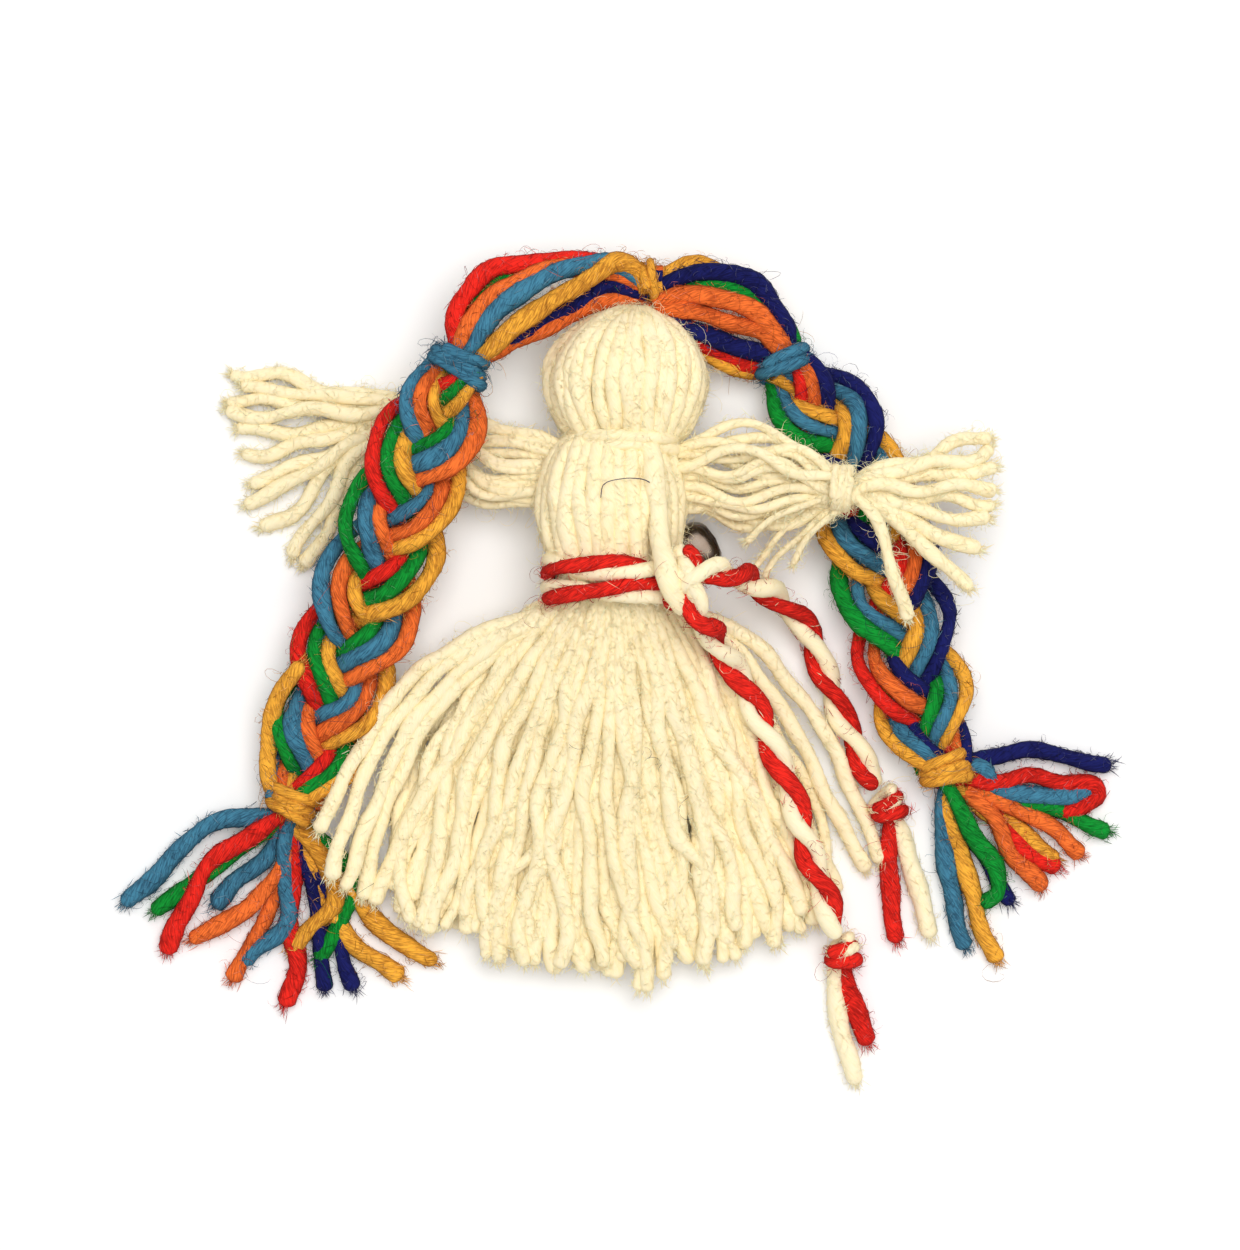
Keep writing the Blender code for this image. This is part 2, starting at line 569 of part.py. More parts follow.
def make_pin(body, needle_body, nickel):
    """Safety pin: the fixed leg and the needle, each with its turn of the coil, and the cap."""
    inside = PIN_LENGTH + CAP_LENGTH / 2
    leg = tube_mesh("pin_leg", pin_wire(-1, PIN_LEG_Z, inside), PIN_WIRE, RING_SIDES)
    add_node("pin_leg", leg, nickel, body)
    needle = pin_wire(1, PIN_NEEDLE_Z, inside - PIN_POINT)
    needle.append(needle[-1] + (needle[-1] - needle[-2]) / np.linalg.norm(needle[-1] - needle[-2]) * PIN_POINT)
    add_node("pin_needle", tube_mesh("pin_needle", needle, PIN_WIRE, RING_SIDES, pointed=True), nickel,
             needle_body)
    low = PIN_LEG_Z - PIN_WIRE / 2 - TOUCH - CAP_WALL
    high = PIN_NEEDLE_Z + PIN_WIRE / 2 + TOUCH + CAP_WALL
    cap = add_node("pin_cap", prism_mesh("pin_cap", cap_outline(0.0), low, high), nickel, body)
    inner = cap_outline(CAP_WALL)
    inner[0] = (-CAP_WALL, inner[0][1])
    inner[-1] = (-CAP_WALL, inner[-1][1])
    hollow = prism_mesh("pin_cap_hollow", inner, low + CAP_WALL, high - CAP_WALL)
    cut_shape(cap, helper("pin_cap_hollow", hollow))
    reach = CAP_LENGTH / 2 + PIN_WIRE
    mouth = ((-CAP_WALL, 0.0), (reach, 0.0), (reach, CAP_WIDTH), (-CAP_WALL, CAP_WIDTH))
    mouth_mesh = prism_mesh("pin_cap_mouth", mouth, low + CAP_WALL, high - CAP_WALL)
    cut_shape(cap, helper("pin_cap_mouth", mouth_mesh))


def cap_outline(wall):
    """The cap's outline in plan, drawn in by wall: a straight mouth and a rounded end."""
    half = CAP_WIDTH / 2 - wall
    depth = CAP_LENGTH - wall
    points = [(0.0, -half)]
    for turn in np.linspace(-math.pi / 2, math.pi / 2, 13):
        points.append((depth - half * 0.7 * (1 - math.cos(turn)), half * math.sin(turn)))
    points.append((0.0, half))
    return points


def prism_mesh(name, outline, low, high):
    """An upright prism over an outline given along the pin from the cap's mouth and across it."""
    return mesh_from_rings(name, [[pin_place(PIN_LENGTH + x, y, z) for x, y in outline] for z in (low, high)])


def make_stitches(body, skirt, red):
    """Loops of red yarn that sew the pin's fixed leg to the back of the waist, each in its tunnel there."""
    half = (PIN_COIL_WIDTH - PIN_WIRE) / 2
    inside = PIN_LENGTH + CAP_LENGTH / 2
    axis = pin_place(1, 0, 0) - pin_place(0, 0, 0)
    for number, share in enumerate(STITCH_PLACE_SHARES, 1):
        along = PIN_LENGTH * share
        across = -(half + (PIN_GAP / 2 - half) * along / inside)
        centre = pin_place(along, across, TABLE_GAP + STITCH_HEIGHT / 2)
        halves = (STITCH_WIDTH - STITCH_YARN) / 2, (STITCH_HEIGHT - STITCH_YARN) / 2
        name = f"pin_stitch_{number}"
        add_node(name, ring_mesh(name, centre, axis, *halves, STITCH_YARN), red, body)
        tunnel = ring_mesh(name + "_tunnel", centre, axis, *halves, STITCH_YARN + 2 * TOUCH)
        cut_shape(skirt, helper(name + "_tunnel", tunnel))


def fan_strands(name, tied, strands, length, drop):
    """Loose strands that spread just clear of their tie, in three layers there. tied is the tie's centre, the
    heading out of it, its thickness and the width of the bundle in it. Each strand has a heading, a share of the
    length and a turn along its length, and comes down by the drop over the first part of its length."""
    centre, out, tie, bundle = tied
    root = centre + out * (tie / 2 + TOUCH + YARN / 2)
    throat = (centre, (centre + root) / 2, root + out * YARN / 2)
    made = [helper(name + "_throat", tube_mesh(name + "_throat", throat, bundle * 0.8, BALL_STEPS))]
    for number, (heading, share, bend) in enumerate(strands):
        steps = np.array(STRAND_STEP_SHARES)
        turns = np.radians(heading + bend * (steps[1:] + steps[:-1]))
        walk = np.stack((np.cos(turns), np.sin(turns)), axis=1) * np.diff(steps)[:, None]
        plan = np.vstack(((0.0, 0.0), np.cumsum(walk, axis=0))) * length * share
        first = np.array((math.cos(math.radians(heading)), math.sin(math.radians(heading)))) * YARN / 4
        layer = YARN / 4 * (number % 3 - 1) * (1 - steps)
        heights = root[2] - drop * np.minimum(1, 1.7 * steps) ** 1.4 + layer
        points = np.column_stack((root[0] + first[0] + plan[:, 0], root[1] + first[1] + plan[:, 1], heights))
        strand = f"{name}_strand_{number}"
        made.append(helper(strand, tube_mesh(strand, points, YARN)))
    return made


def make_arm(name, side, size, arm_body, hand_body, hand, cream):
    """One arm: a bundle from the shoulder to the wrist, the tie there, and the loose ends as a hand."""
    width, wrist = size
    shoulder = shoulder_place(side)
    along = (wrist - shoulder) * (1.0, 1.0, 0.0)
    along /= np.linalg.norm(along)
    stop = wrist - along * (WRIST_TIE / 2 + WRIST_WIDTH / 2)
    shares, swell = np.array(SLEEVE_STEP_SHARES), np.array(SLEEVE_SWELL_SHARES)
    points = shoulder + (stop - shoulder) * shares[:, None]
    points[:, 2] = shoulder[2] + (stop[2] - shoulder[2]) * np.minimum(1, 1.5 * shares) ** 1.2
    rings = oval_rings(points, width / 2 * swell, SLEEVE_DEPTH / 2 * swell ** 0.4,
                       SLEEVE_FLUTES * POINTS_A_FLUTE, SLEEVE_FLUTES)
    ball = ball_mesh(name + "_shoulder_ball", shoulder, SHOULDER_BALL)
    sleeve = add_node(name + "_sleeve", mesh_from_rings(name + "_sleeve", rings), cream, arm_body)
    join_shapes(sleeve, [helper(name + "_shoulder_ball", ball)])
    clear = WRIST_WIDTH / 2 + TOUCH + WRIST_TIE / 2
    add_node(name + "_wrist_tie", ring_mesh(name + "_wrist_tie", wrist, along, clear, clear, WRIST_TIE), cream,
             arm_body)
    root = add_node(name + "_hand", ball_mesh(name + "_hand", wrist, WRIST_WIDTH), cream, hand_body)
    strands, drop = hand
    tied = (wrist, along, WRIST_TIE, WRIST_WIDTH)
    join_shapes(root, fan_strands(name + "_hand", tied, strands, HAND_LENGTH, drop))


def side_tie_place(side):
    """Centre of the tie where a lock of hair turns into a plait."""
    if side < 0:
        return np.array((CROWN_X - LEFT_LOCK_REACH, CROWN_Y - LEFT_LOCK_DROP, LEFT_SIDE_Z))
    return np.array((CROWN_X + RIGHT_LOCK_REACH, CROWN_Y - RIGHT_LOCK_DROP, RIGHT_SIDE_Z))


def plait_length(side):
    return LEFT_PLAIT_LENGTH if side < 0 else RIGHT_PLAIT_LENGTH


def plait_place(side, share):
    """The plait's centre line from its side tie to its end tie: a straight line bowed outwards, whose height
    eases from the side tie's to the end tie's."""
    start = side_tie_place(side)
    lean = math.radians(LEFT_PLAIT_LEAN_DEG if side < 0 else RIGHT_PLAIT_LEAN_DEG)
    bow = LEFT_PLAIT_BOW if side < 0 else RIGHT_PLAIT_BOW
    down = np.array((math.sin(lean), -math.cos(lean)))
    out = np.array((math.cos(lean), math.sin(lean))) * side
    flat = start[:2] + down * plait_length(side) * share + out * bow * 27 / 4 * share * (1 - share) ** 2
    ease = min(1.0, max(0.0, (share - 0.1) / 0.8))
    return np.array((*flat, start[2] + (END_Z - start[2]) * ease * ease * (3 - 2 * ease)))


def make_lock(name, side, body, look, tie_look):
    """A loose lock of hair from the crown tie to the side tie, its rounded end inside that tie."""
    crown, end = np.array((CROWN_X, CROWN_Y, CROWN_Z)), side_tie_place(side)
    route = [crown + (end - crown) * (across, down, across)
             for across, down in (LEFT_LOCK_SHARES if side < 0 else RIGHT_LOCK_SHARES)]
    fine = smooth_path(route, 200)
    run = run_along(fine)
    steps = np.linspace(CROWN_WIDTH / 2 + TOUCH, run[-1], LOCK_STEPS)
    line = np.stack([np.interp(steps, run, fine[:, k]) for k in range(3)], axis=1)
    swell = np.sin(np.linspace(0, math.pi, LOCK_STEPS)) ** 0.8
    ends = np.linspace(CROWN_WIDTH * 0.8, SIDE_CORE, LOCK_STEPS)
    widths, depths = ends + (LOCK_WIDTH - ends) * swell, ends + (LOCK_DEPTH - ends) * swell
    dome = np.array((0.55, 0.9))
    heading = (line[-1] - line[-2]) / np.linalg.norm(line[-1] - line[-2])
    line = np.vstack((line, end + heading * SIDE_CORE / 2 * dome[:, None]))
    sizes = SIDE_CORE * np.sqrt(1 - dome ** 2)
    rings = oval_rings(line, np.append(widths, sizes) / 2, np.append(depths, sizes) / 2,
                       LOCK_FLUTES * POINTS_A_FLUTE, LOCK_FLUTES)
    add_node(name + "_lock", mesh_from_rings(name + "_lock", rings), look, body)
    clear = SIDE_CORE / 2 + TOUCH + SIDE_TIE / 2
    add_node(name + "_side_tie", ring_mesh(name + "_side_tie", end, heading, clear, clear, SIDE_TIE), tie_look,
             body)


def make_plait(name, side, body, looks):
    """Three legs that cross over and under each other: sideways as a sine, up and down at twice its rate."""
    length = plait_length(side)
    clear_top = (SIDE_TIE + SIDE_CORE) / 2 + TOUCH
    clear_end = (END_TIE + END_CORE) / 2 + TOUCH
    run = np.linspace(clear_top, length - clear_end, LEG_STEPS)
    line = np.array([plait_place(side, share) for share in run / length])
    _, across, up = path_frames(line)
    near = np.clip(np.minimum(run - clear_top, length - clear_end - run) / PLAIT_GATHER, 0, 1)
    gather = PLAIT_GATHER_SHARE + (1 - PLAIT_GATHER_SHARE) * near * near * (3 - 2 * near)
    for leg, look in enumerate(looks):
        turn = 2 * math.pi * (run / PLAIT_PITCH + leg / len(looks))
        sway = PLAIT_SWAY * gather * np.sin(turn)
        rise = PLAIT_RISE * gather ** 0.3 * np.sin(2 * turn)
        points = line + sway[:, None] * across + rise[:, None] * up
        rings = oval_rings(points, LEG_WIDTH / 2 * gather, LEG_DEPTH / 2 * gather ** 0.6, LEG_SIDES)
        leg_name = f"{name}_plait_leg_{leg + 1}"
        add_node(leg_name, mesh_from_rings(leg_name, rings), look, body)


def make_tassel(name, side, plait_body, tassel_body, looks, strands):
    """The tie at a plait's end, and the cut ends of the yarns that fan out below it."""
    end = plait_place(side, 1.0)
    heading = end - plait_place(side, 0.98)
    heading /= np.linalg.norm(heading)
    clear = END_CORE / 2 + TOUCH + END_TIE / 2
    tie = ring_mesh(name + "_end_tie", end, heading, clear, clear, END_TIE)
    add_node(name + "_end_tie", tie, looks[0], plait_body)
    root = add_node(name + "_tassel", ball_mesh(name + "_tassel", end, END_CORE), looks[1], tassel_body)
    drop = END_Z - YARN / 2 - TABLE_GAP
    tied = (end, heading, END_TIE, END_CORE)
    join_shapes(root, fan_strands(name + "_tassel", tied, strands, TASSEL_LENGTH, drop))


def make_crown(body, gold, orange):
    """The gathered hair over the crown, and the gold tie that binds it there."""
    centre = (CROWN_X, CROWN_Y, CROWN_Z)
    add_node("crown_bundle", ball_mesh("crown_bundle", centre, CROWN_WIDTH), orange, body)
    clear = CROWN_WIDTH / 2 + TOUCH + CROWN_TIE / 2
    add_node("crown_tie", ring_mesh("crown_tie", centre, (1, 0), clear, clear, CROWN_TIE), gold, body)


def main():
    for old in list(bpy.data.objects):
        bpy.data.objects.remove(old)
    cream = material("cream_wool", CREAM)
    red = material("red_wool", RED)
    teal = material("teal_wool", TEAL)
    gold = material("gold_wool", GOLD)
    orange = material("orange_wool", ORANGE)
    green = material("green_wool", GREEN)
    cord = material("red_and_white_cord", RED_AND_WHITE)
    nickel = material("nickel_wire", NICKEL, 0.3, 1.0)
    body = body_empty("body", (0.0, 0.0, 0.0))
    make_head(body, cream)
    make_neck_tie(body, cream)
    make_torso(body, cream)
    skirt = make_skirt(body, cream)
    make_belt(body, cord)
    tail_looks = {"cord": cord, "red": red, "white": cream}
    make_tail("left_tail", LEFT_TAIL_ROUTE, LEFT_TAIL_ENDS, body, tail_looks)
    make_tail("right_tail", RIGHT_TAIL_ROUTE, RIGHT_TAIL_ENDS, body, tail_looks)
    make_pin(body, body_empty("needle", pin_place(0, 0, PIN_NEEDLE_Z), body), nickel)
    make_stitches(body, skirt, red)
    make_crown(body, gold, orange)
    reaches = {-1: (-LEFT_ARM_REACH, LEFT_ARM_RISE), 1: (RIGHT_ARM_REACH, -RIGHT_ARM_DROP)}
    heights = {-1: LEFT_WRIST_Z, 1: RIGHT_WRIST_Z}
    widths = {-1: LEFT_SLEEVE_WIDTH, 1: RIGHT_SLEEVE_WIDTH}
    hands = {-1: (LEFT_HAND_STRAND_SHARES, LEFT_WRIST_Z - YARN / 2 - TABLE_GAP),
             1: (RIGHT_HAND_STRAND_SHARES, RIGHT_HAND_DROP)}
    tassels = {-1: LEFT_TASSEL_STRAND_SHARES, 1: RIGHT_TASSEL_STRAND_SHARES}
    for side, name in ((-1, "left"), (1, "right")):
        shoulder = shoulder_place(side)
        wrist = np.array((shoulder[0] + reaches[side][0], shoulder[1] + reaches[side][1], heights[side]))
        arm_body = body_empty(name + "_arm", shoulder, body)
        hand_body = body_empty(name + "_hand_turn", wrist, arm_body)
        make_arm(name, side, (widths[side], wrist), arm_body, hand_body, hands[side], cream)
        lock_body = body_empty(name + "_lock_turn", (CROWN_X, CROWN_Y, CROWN_Z), body)
        plait_body = body_empty(name + "_plait_turn", side_tie_place(side), lock_body)
        make_lock(name, side, lock_body, orange, teal)
        make_plait(name, side, plait_body, (green, teal, orange))
        tassel_body = body_empty(name + "_tassel_turn", plait_place(side, 1.0), plait_body)
        make_tassel(name, side, plait_body, tassel_body, (gold, teal), tassels[side])


main()
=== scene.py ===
"""The look of a yarn doll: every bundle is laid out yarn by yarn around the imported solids, each yarn with its
loose fibres, and the stage is a pale floor seen from straight above."""
import json
import math

import bpy
import numpy as np
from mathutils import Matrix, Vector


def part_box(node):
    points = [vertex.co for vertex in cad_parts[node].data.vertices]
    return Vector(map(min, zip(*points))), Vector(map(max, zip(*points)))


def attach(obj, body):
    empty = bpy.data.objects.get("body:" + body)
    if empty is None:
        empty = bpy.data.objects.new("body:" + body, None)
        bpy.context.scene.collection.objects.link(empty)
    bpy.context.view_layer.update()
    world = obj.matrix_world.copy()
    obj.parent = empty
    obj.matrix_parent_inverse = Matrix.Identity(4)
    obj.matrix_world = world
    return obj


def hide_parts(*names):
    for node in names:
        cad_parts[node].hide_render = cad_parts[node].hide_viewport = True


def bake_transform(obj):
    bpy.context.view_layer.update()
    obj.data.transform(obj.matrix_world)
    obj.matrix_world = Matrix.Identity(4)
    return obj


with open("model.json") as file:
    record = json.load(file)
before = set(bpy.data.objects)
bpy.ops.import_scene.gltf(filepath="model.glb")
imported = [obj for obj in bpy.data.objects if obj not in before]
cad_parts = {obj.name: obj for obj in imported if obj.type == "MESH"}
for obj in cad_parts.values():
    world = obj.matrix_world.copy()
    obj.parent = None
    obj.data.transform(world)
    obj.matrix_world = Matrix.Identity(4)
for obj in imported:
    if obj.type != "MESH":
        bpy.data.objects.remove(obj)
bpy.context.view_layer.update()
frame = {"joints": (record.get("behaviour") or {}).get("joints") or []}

bl_info = {
    "name": "Yarn doll",
    "version": (1, 0, 0),
    "blender": (4, 5, 0),
    "location": "3D View > Sidebar > Doll",
    "description": "Lays the yarns, cords and safety pin of a yarn doll around its solids",
    "category": "Object",
}

MM = 0.001
UP = np.array((0.0, 0.0, 1.0))
JOINT_AT = {joint["name"]: np.array(joint["pos_m"]) for joint in frame["joints"]}
SIGNS = {"left": -1, "right": 1}
CROWN = JOINT_AT["left_crown"]
SIDE_TIES, END_TIES, WRISTS, SHOULDERS = (
    {side: JOINT_AT[f"{side}_{joint}"] for side in SIGNS}
    for joint in ("side_tie", "end_tie", "wrist", "shoulder"))
LOOKS = ("cream", "red", "orange", "gold", "green", "teal", "navy", "white")

# How finely each surface is drawn
YARN_STEP = 0.45 * MM
YARN_SIDES = 10
FIBRE_SIDES = 3
NAP_STEPS = 4
HALO_STEPS = 5
STRAY_STEPS = 10
CURVE_STEPS = 24
END_RINGS = np.array((0.0, 0.06, 0.2, 0.42, 0.7, 1.0))
TIP_REACH = 0.42

# The loose fibres on a yarn: their share of all, shortest and longest as shares of the fibre length, least
# and most lift, points, curl, thickness, and shades. The tuft is the fibres at a free end.
# Shades above 1 paint a fibre with a highlight, and shades below -1 paint it with a shadow.
FIBRE_KINDS = (
    (0.55, 0.3, 0.75, -0.04, 0.16, NAP_STEPS, 0.0, 0.9, (-1.9, 3.6)),
    (0.85, 0.35, 1.0, 0.12, 0.85, HALO_STEPS, 4.6, 0.5, (-1.8, 3.5)),
    (0.045, 1.2, 3.0, 0.5, 1.2, STRAY_STEPS, 7.5, 0.5, (-3.0, 2.0)),
)
TUFT_FIBRES = 34

# The body's heights and widths, in the solids' own frame
NECK_Y = 45.6 * MM
WAIST_Y = 30.0 * MM
NECK_Z = 8.15 * MM
HEAD_Z = 7.4 * MM
TORSO_Z = 8.9 * MM
WAIST_Z = 9.9 * MM
FLOOR_GAP = 0.05 * MM
TORSO_BACK = 3.15 * MM
CRIMP = 0.09 * MM

# The skirt's fan, as the solid has it
SKIRT_LENGTH = 44.0 * MM
SKIRT_LEFT_FAN = math.radians(41)
SKIRT_RIGHT_FAN = math.radians(36)
SKIRT_LEFT_FLARE = 22.0 * MM
SKIRT_RIGHT_FLARE = 18.0 * MM
SKIRT_SHOULDER = 6.8 * MM
SKIRT_HEM_HEIGHT = 5.0 * MM
SKIRT_TUCK = 0.46
WAIST_WIDTH = 12.2 * MM
WAIST_DEPTH = 7.2 * MM
SKIRT_EDGE = 2.1 * MM
# Its pieces: each a name, a seed and layers, and each layer its strands, its share of the way from front to
# back, its length in mm, and what else sets it apart
SKIRT_PIECES = (
    ("top", 31, ((25, 0.0, 46.0, {"lift": 0.65 * MM, "fuzz": 0.75}),)),
    ("side", 36, ()),
    ("left_front", 32, ((23, 0.04, 45.2, {"across_to": 0.0, "fuzz": 0.75, "loose": 0.85}),)),
    ("right_front", 33, ((23, 0.04, 45.2, {"across_from": 0.0, "fuzz": 0.75, "loose": 0.85}),)),
    ("middle", 34, ((46, 0.09, 44.6, {"fuzz": 0.12, "loose": 0.3}),)),
    ("back", 35, ((27, 1.0, 44.0, {"fuzz": 0.12}), (26, 0.5, 44.4, {"fuzz": 0.04}))),
)

# Plaits
PLAIT_PITCH = 24.0 * MM
PLAIT_SWAY = 3.6 * MM
PLAIT_RISE = 1.6 * MM
PLAIT_GATHER = 8.5 * MM
PLAIT_GATHER_SHARE = 0.5
LEG_SPACING = 1.72 * MM
PLAIT_BOW = {"left": 0.4 * MM, "right": 2.8 * MM}
PLAIT_PHASE = {"left": -0.175, "right": 0.10}
PLAIT_LEGS = {"left": (("red", "green", "gold"), ("green", "teal", "orange"), ("teal", "orange", "gold")),
              "right": (("green", "teal", "gold"), ("red", "orange", "navy"), ("gold", "teal", "navy"))}

# The hair between the crown and the side ties. Each yarn is its look, its layer from the table up, and places
# on its way in mm, from the crown out
LEFT_LOCK = (
    ("green", -0.9, ((3.0, 61.8), (-2.0, 64.0), (-7.0, 64.4), (-11.1, 63.9), (-14.0, 62.0), (-16.2, 58.9),
        (-17.3, 55.3))),
    ("navy", -0.3, ((3.3, 61.3), (1.1, 62.1), (-1.1, 62.4), (-3.6, 61.2), (-6.9, 59.4), (-10.9, 57.2),
        (-14.9, 54.7))),
    ("orange", -0.5, ((3.6, 59.9), (0.4, 60.7), (-2.4, 60.6), (-5.8, 59.2), (-8.9, 57.7), (-12.2, 55.9),
        (-15.3, 54.0))),
    ("red", 0.1, ((3.3, 62.4), (0.0, 64.6), (-4.9, 65.2), (-9.8, 65.1), (-13.8, 64.2), (-16.4, 61.9),
        (-18.0, 58.8), (-18.6, 55.1))),
    ("orange", 0.7, ((3.1, 62.2), (-1.3, 64.2), (-6.2, 64.3), (-10.9, 62.9), (-14.0, 61.1), (-16.3, 58.4),
        (-17.6, 54.8))),
    ("teal", 1.2, ((3.1, 62.4), (0.4, 64.4), (-2.9, 64.8), (-5.6, 64.4), (-8.2, 63.1), (-11.1, 61.3),
        (-14.0, 58.7), (-16.9, 54.7))),
    ("gold", 1.7, ((2.9, 62.2), (1.8, 64.2), (-0.4, 64.8), (-2.7, 63.6), (-5.1, 62.0), (-8.0, 60.2),
        (-10.9, 58.0), (-15.1, 54.0))),
)
RIGHT_LOCK = (
    ("gold", -0.6, ((3.6, 62.7), (5.6, 64.1), (8.2, 64.8), (11.3, 63.8), (14.9, 61.6), (18.0, 57.8),
        (20.0, 54.9))),
    ("green", -0.1, ((4.2, 61.6), (8.0, 62.2), (11.8, 62.2), (15.3, 61.1), (18.0, 59.1), (19.6, 56.9),
        (20.2, 54.9))),
    ("navy", 0.5, ((4.0, 62.1), (6.4, 63.2), (9.3, 64.1), (12.4, 64.0), (15.1, 62.7), (17.3, 60.4),
        (18.9, 57.8), (19.8, 55.1))),
    ("gold", -1.0, ((4.2, 59.6), (6.9, 56.9), (9.8, 55.1), (12.9, 53.8), (16.2, 52.9))),
    ("red", -0.6, ((4.2, 60.0), (8.0, 56.9), (11.3, 55.1), (14.2, 54.1), (17.1, 53.4))),
    ("navy", 0.2, ((4.4, 59.9), (7.3, 58.0), (10.9, 56.6), (14.7, 55.6), (18.4, 54.6))),
    ("orange", 1.1, ((4.2, 60.1), (7.1, 59.8), (10.2, 59.1), (13.6, 58.3), (16.4, 57.3), (18.9, 55.1))),
    ("orange", 1.5, ((4.0, 60.8), (6.9, 61.3), (10.4, 61.2), (14.0, 60.3), (16.4, 58.8), (19.6, 55.3))),
)
# Loose ends beyond a tie, each its look, its layer at the tie and places on its way in mm
LEFT_TASSEL = (
    ("teal", 0, ((-37.8, 1.3), (-40.0, -1.3), (-42.7, -3.9), (-45.6, -6.2))),
    ("green", 0, ((-39.6, 1.6), (-43.3, -0.7), (-46.9, -3.4), (-50.0, -5.8), (-52.0, -7.3))),
    ("orange", 0, ((-36.9, 0.0), (-38.4, -5.0), (-40.3, -9.3), (-42.2, -12.7), (-43.2, -14.9))),
    ("red", 0, ((-36.6, 0.0), (-36.3, -5.6), (-36.4, -11.1), (-36.7, -17.8))),
    ("navy", 0, ((-35.6, 0.0), (-34.0, -4.4), (-33.2, -10.0), (-33.2, -16.0))),
    ("navy", 0, ((-35.2, 0.4), (-32.9, -4.4), (-30.9, -10.0), (-30.0, -16.0))),
    ("teal", 1, ((-37.0, 0.6), (-37.0, -3.9), (-37.4, -8.2), (-39.3, -11.1), (-41.9, -13.0))),
    ("gold", 0, ((-35.1, 0.9), (-33.3, -4.4), (-29.6, -10.4), (-26.7, -13.1), (-24.2, -14.6))),
    ("gold", 0, ((-34.7, 1.3), (-31.3, -3.1), (-28.4, -6.7), (-25.1, -9.8), (-20.4, -12.9))),
    ("teal", 1, ((-39.6, 3.8), (-43.3, 3.3), (-46.7, 1.8), (-50.4, -1.3), (-52.9, -4.2), (-55.0, -6.6))),
    ("green", 1, ((-34.7, 2.0), (-31.6, -0.7), (-29.3, -3.8), (-30.7, -7.8), (-32.2, -10.2),
        (-33.8, -12.4))),
    ("red", 2, ((-39.1, 2.7), (-43.3, 0.2), (-46.9, -3.8), (-49.2, -7.8), (-50.1, -11.9))),
    ("orange", 2, ((-36.4, 1.3), (-37.9, -2.6), (-40.7, -6.0), (-44.3, -8.4), (-47.9, -10.3))),
    ("gold", 2.4, ((-35.1, 2.0), (-32.6, -1.8), (-31.8, -5.8), (-34.0, -9.1), (-36.9, -11.2))),
)
RIGHT_TASSEL = (
    ("teal", 0, ((36.4, 5.3), (36.3, 2.2), (36.7, -1.8), (37.3, -5.6), (39.1, -11.2))),
    ("gold", 0, ((36.7, 5.6), (37.6, 1.6), (38.9, -3.1), (40.2, -7.1), (42.3, -12.8))),
    ("navy", 0, ((37.6, 5.8), (39.3, 1.6), (41.8, -2.4), (44.0, -6.3))),
    ("gold", 0, ((38.7, 6.4), (42.2, 3.6), (45.8, 1.1), (49.3, -1.3))),
    ("green", 0, ((38.9, 7.1), (43.6, 5.6), (48.4, 4.4), (51.8, 3.3), (55.1, 2.0))),
    ("red", 0.4, ((38.7, 6.7), (41.3, 4.2), (44.7, 0.9), (49.1, -2.6))),
    ("red", 0.6, ((39.3, 8.0), (42.4, 7.6), (45.8, 8.0), (49.6, 7.3), (53.0, 7.3), (53.8, 5.9), (51.9, 4.8),
        (49.3, 4.3))),
    ("orange", 1.4, ((38.7, 7.1), (42.4, 5.3), (46.2, 3.6), (49.3, 1.8), (52.0, -0.8))),
    ("navy", 1.0, ((38.2, 8.9), (40.7, 10.3), (44.9, 11.0), (49.3, 10.2), (52.7, 9.9), (55.1, 9.8))),
    ("teal", 1.8, ((39.3, 9.3), (40.9, 9.1), (42.4, 6.9), (45.6, 5.8), (48.7, 5.8), (52.9, 7.1))),
    ("orange", 2.2, ((38.0, 7.6), (40.4, 5.3), (42.6, 2.0), (44.8, -1.6), (47.4, -4.7))),
    ("green", 2.0, ((37.1, 6.7), (38.2, 4.2), (40.2, 0.7), (42.2, -2.9), (42.8, -5.3), (40.8, -6.6))),
)
# The same for the hands, which are all cream
LEFT_HAND = (
    (0, ((-25.1, 50.2), (-29.8, 50.9), (-35.3, 52.0), (-39.6, 52.9), (-43.3, 53.6))),
    (1, ((-25.1, 49.8), (-29.8, 50.4), (-35.8, 50.9), (-39.6, 51.1), (-42.2, 51.9))),
    (0, ((-25.3, 49.3), (-30.9, 49.6), (-35.8, 49.6), (-40.2, 50.0), (-43.8, 50.2))),
    (2, ((-25.3, 49.1), (-30.9, 48.7), (-35.8, 48.9), (-40.2, 48.4), (-43.8, 48.7))),
    (0, ((-25.3, 48.4), (-30.4, 47.3), (-35.3, 46.9), (-39.6, 46.4), (-42.7, 46.7))),
    (1, ((-25.6, 48.2), (-30.4, 46.7), (-35.3, 45.1), (-39.1, 44.2), (-42.0, 44.4))),
    (0, ((-25.6, 47.8), (-30.4, 45.6), (-34.4, 43.1), (-38.0, 41.8), (-41.3, 41.3))),
    (2, ((-25.8, 47.6), (-30.9, 44.7), (-35.1, 41.6), (-38.4, 40.0), (-41.8, 38.6))),
    (0, ((-25.8, 47.3), (-30.4, 44.2), (-34.2, 40.4), (-36.9, 37.3), (-39.6, 35.2))),
    (1, ((-26.0, 46.9), (-29.8, 43.3), (-32.4, 39.1), (-34.4, 35.6), (-36.3, 32.4))),
    (0, ((-26.0, 46.7), (-29.1, 42.7), (-31.3, 38.4), (-32.9, 34.9), (-35.3, 31.6))),
)
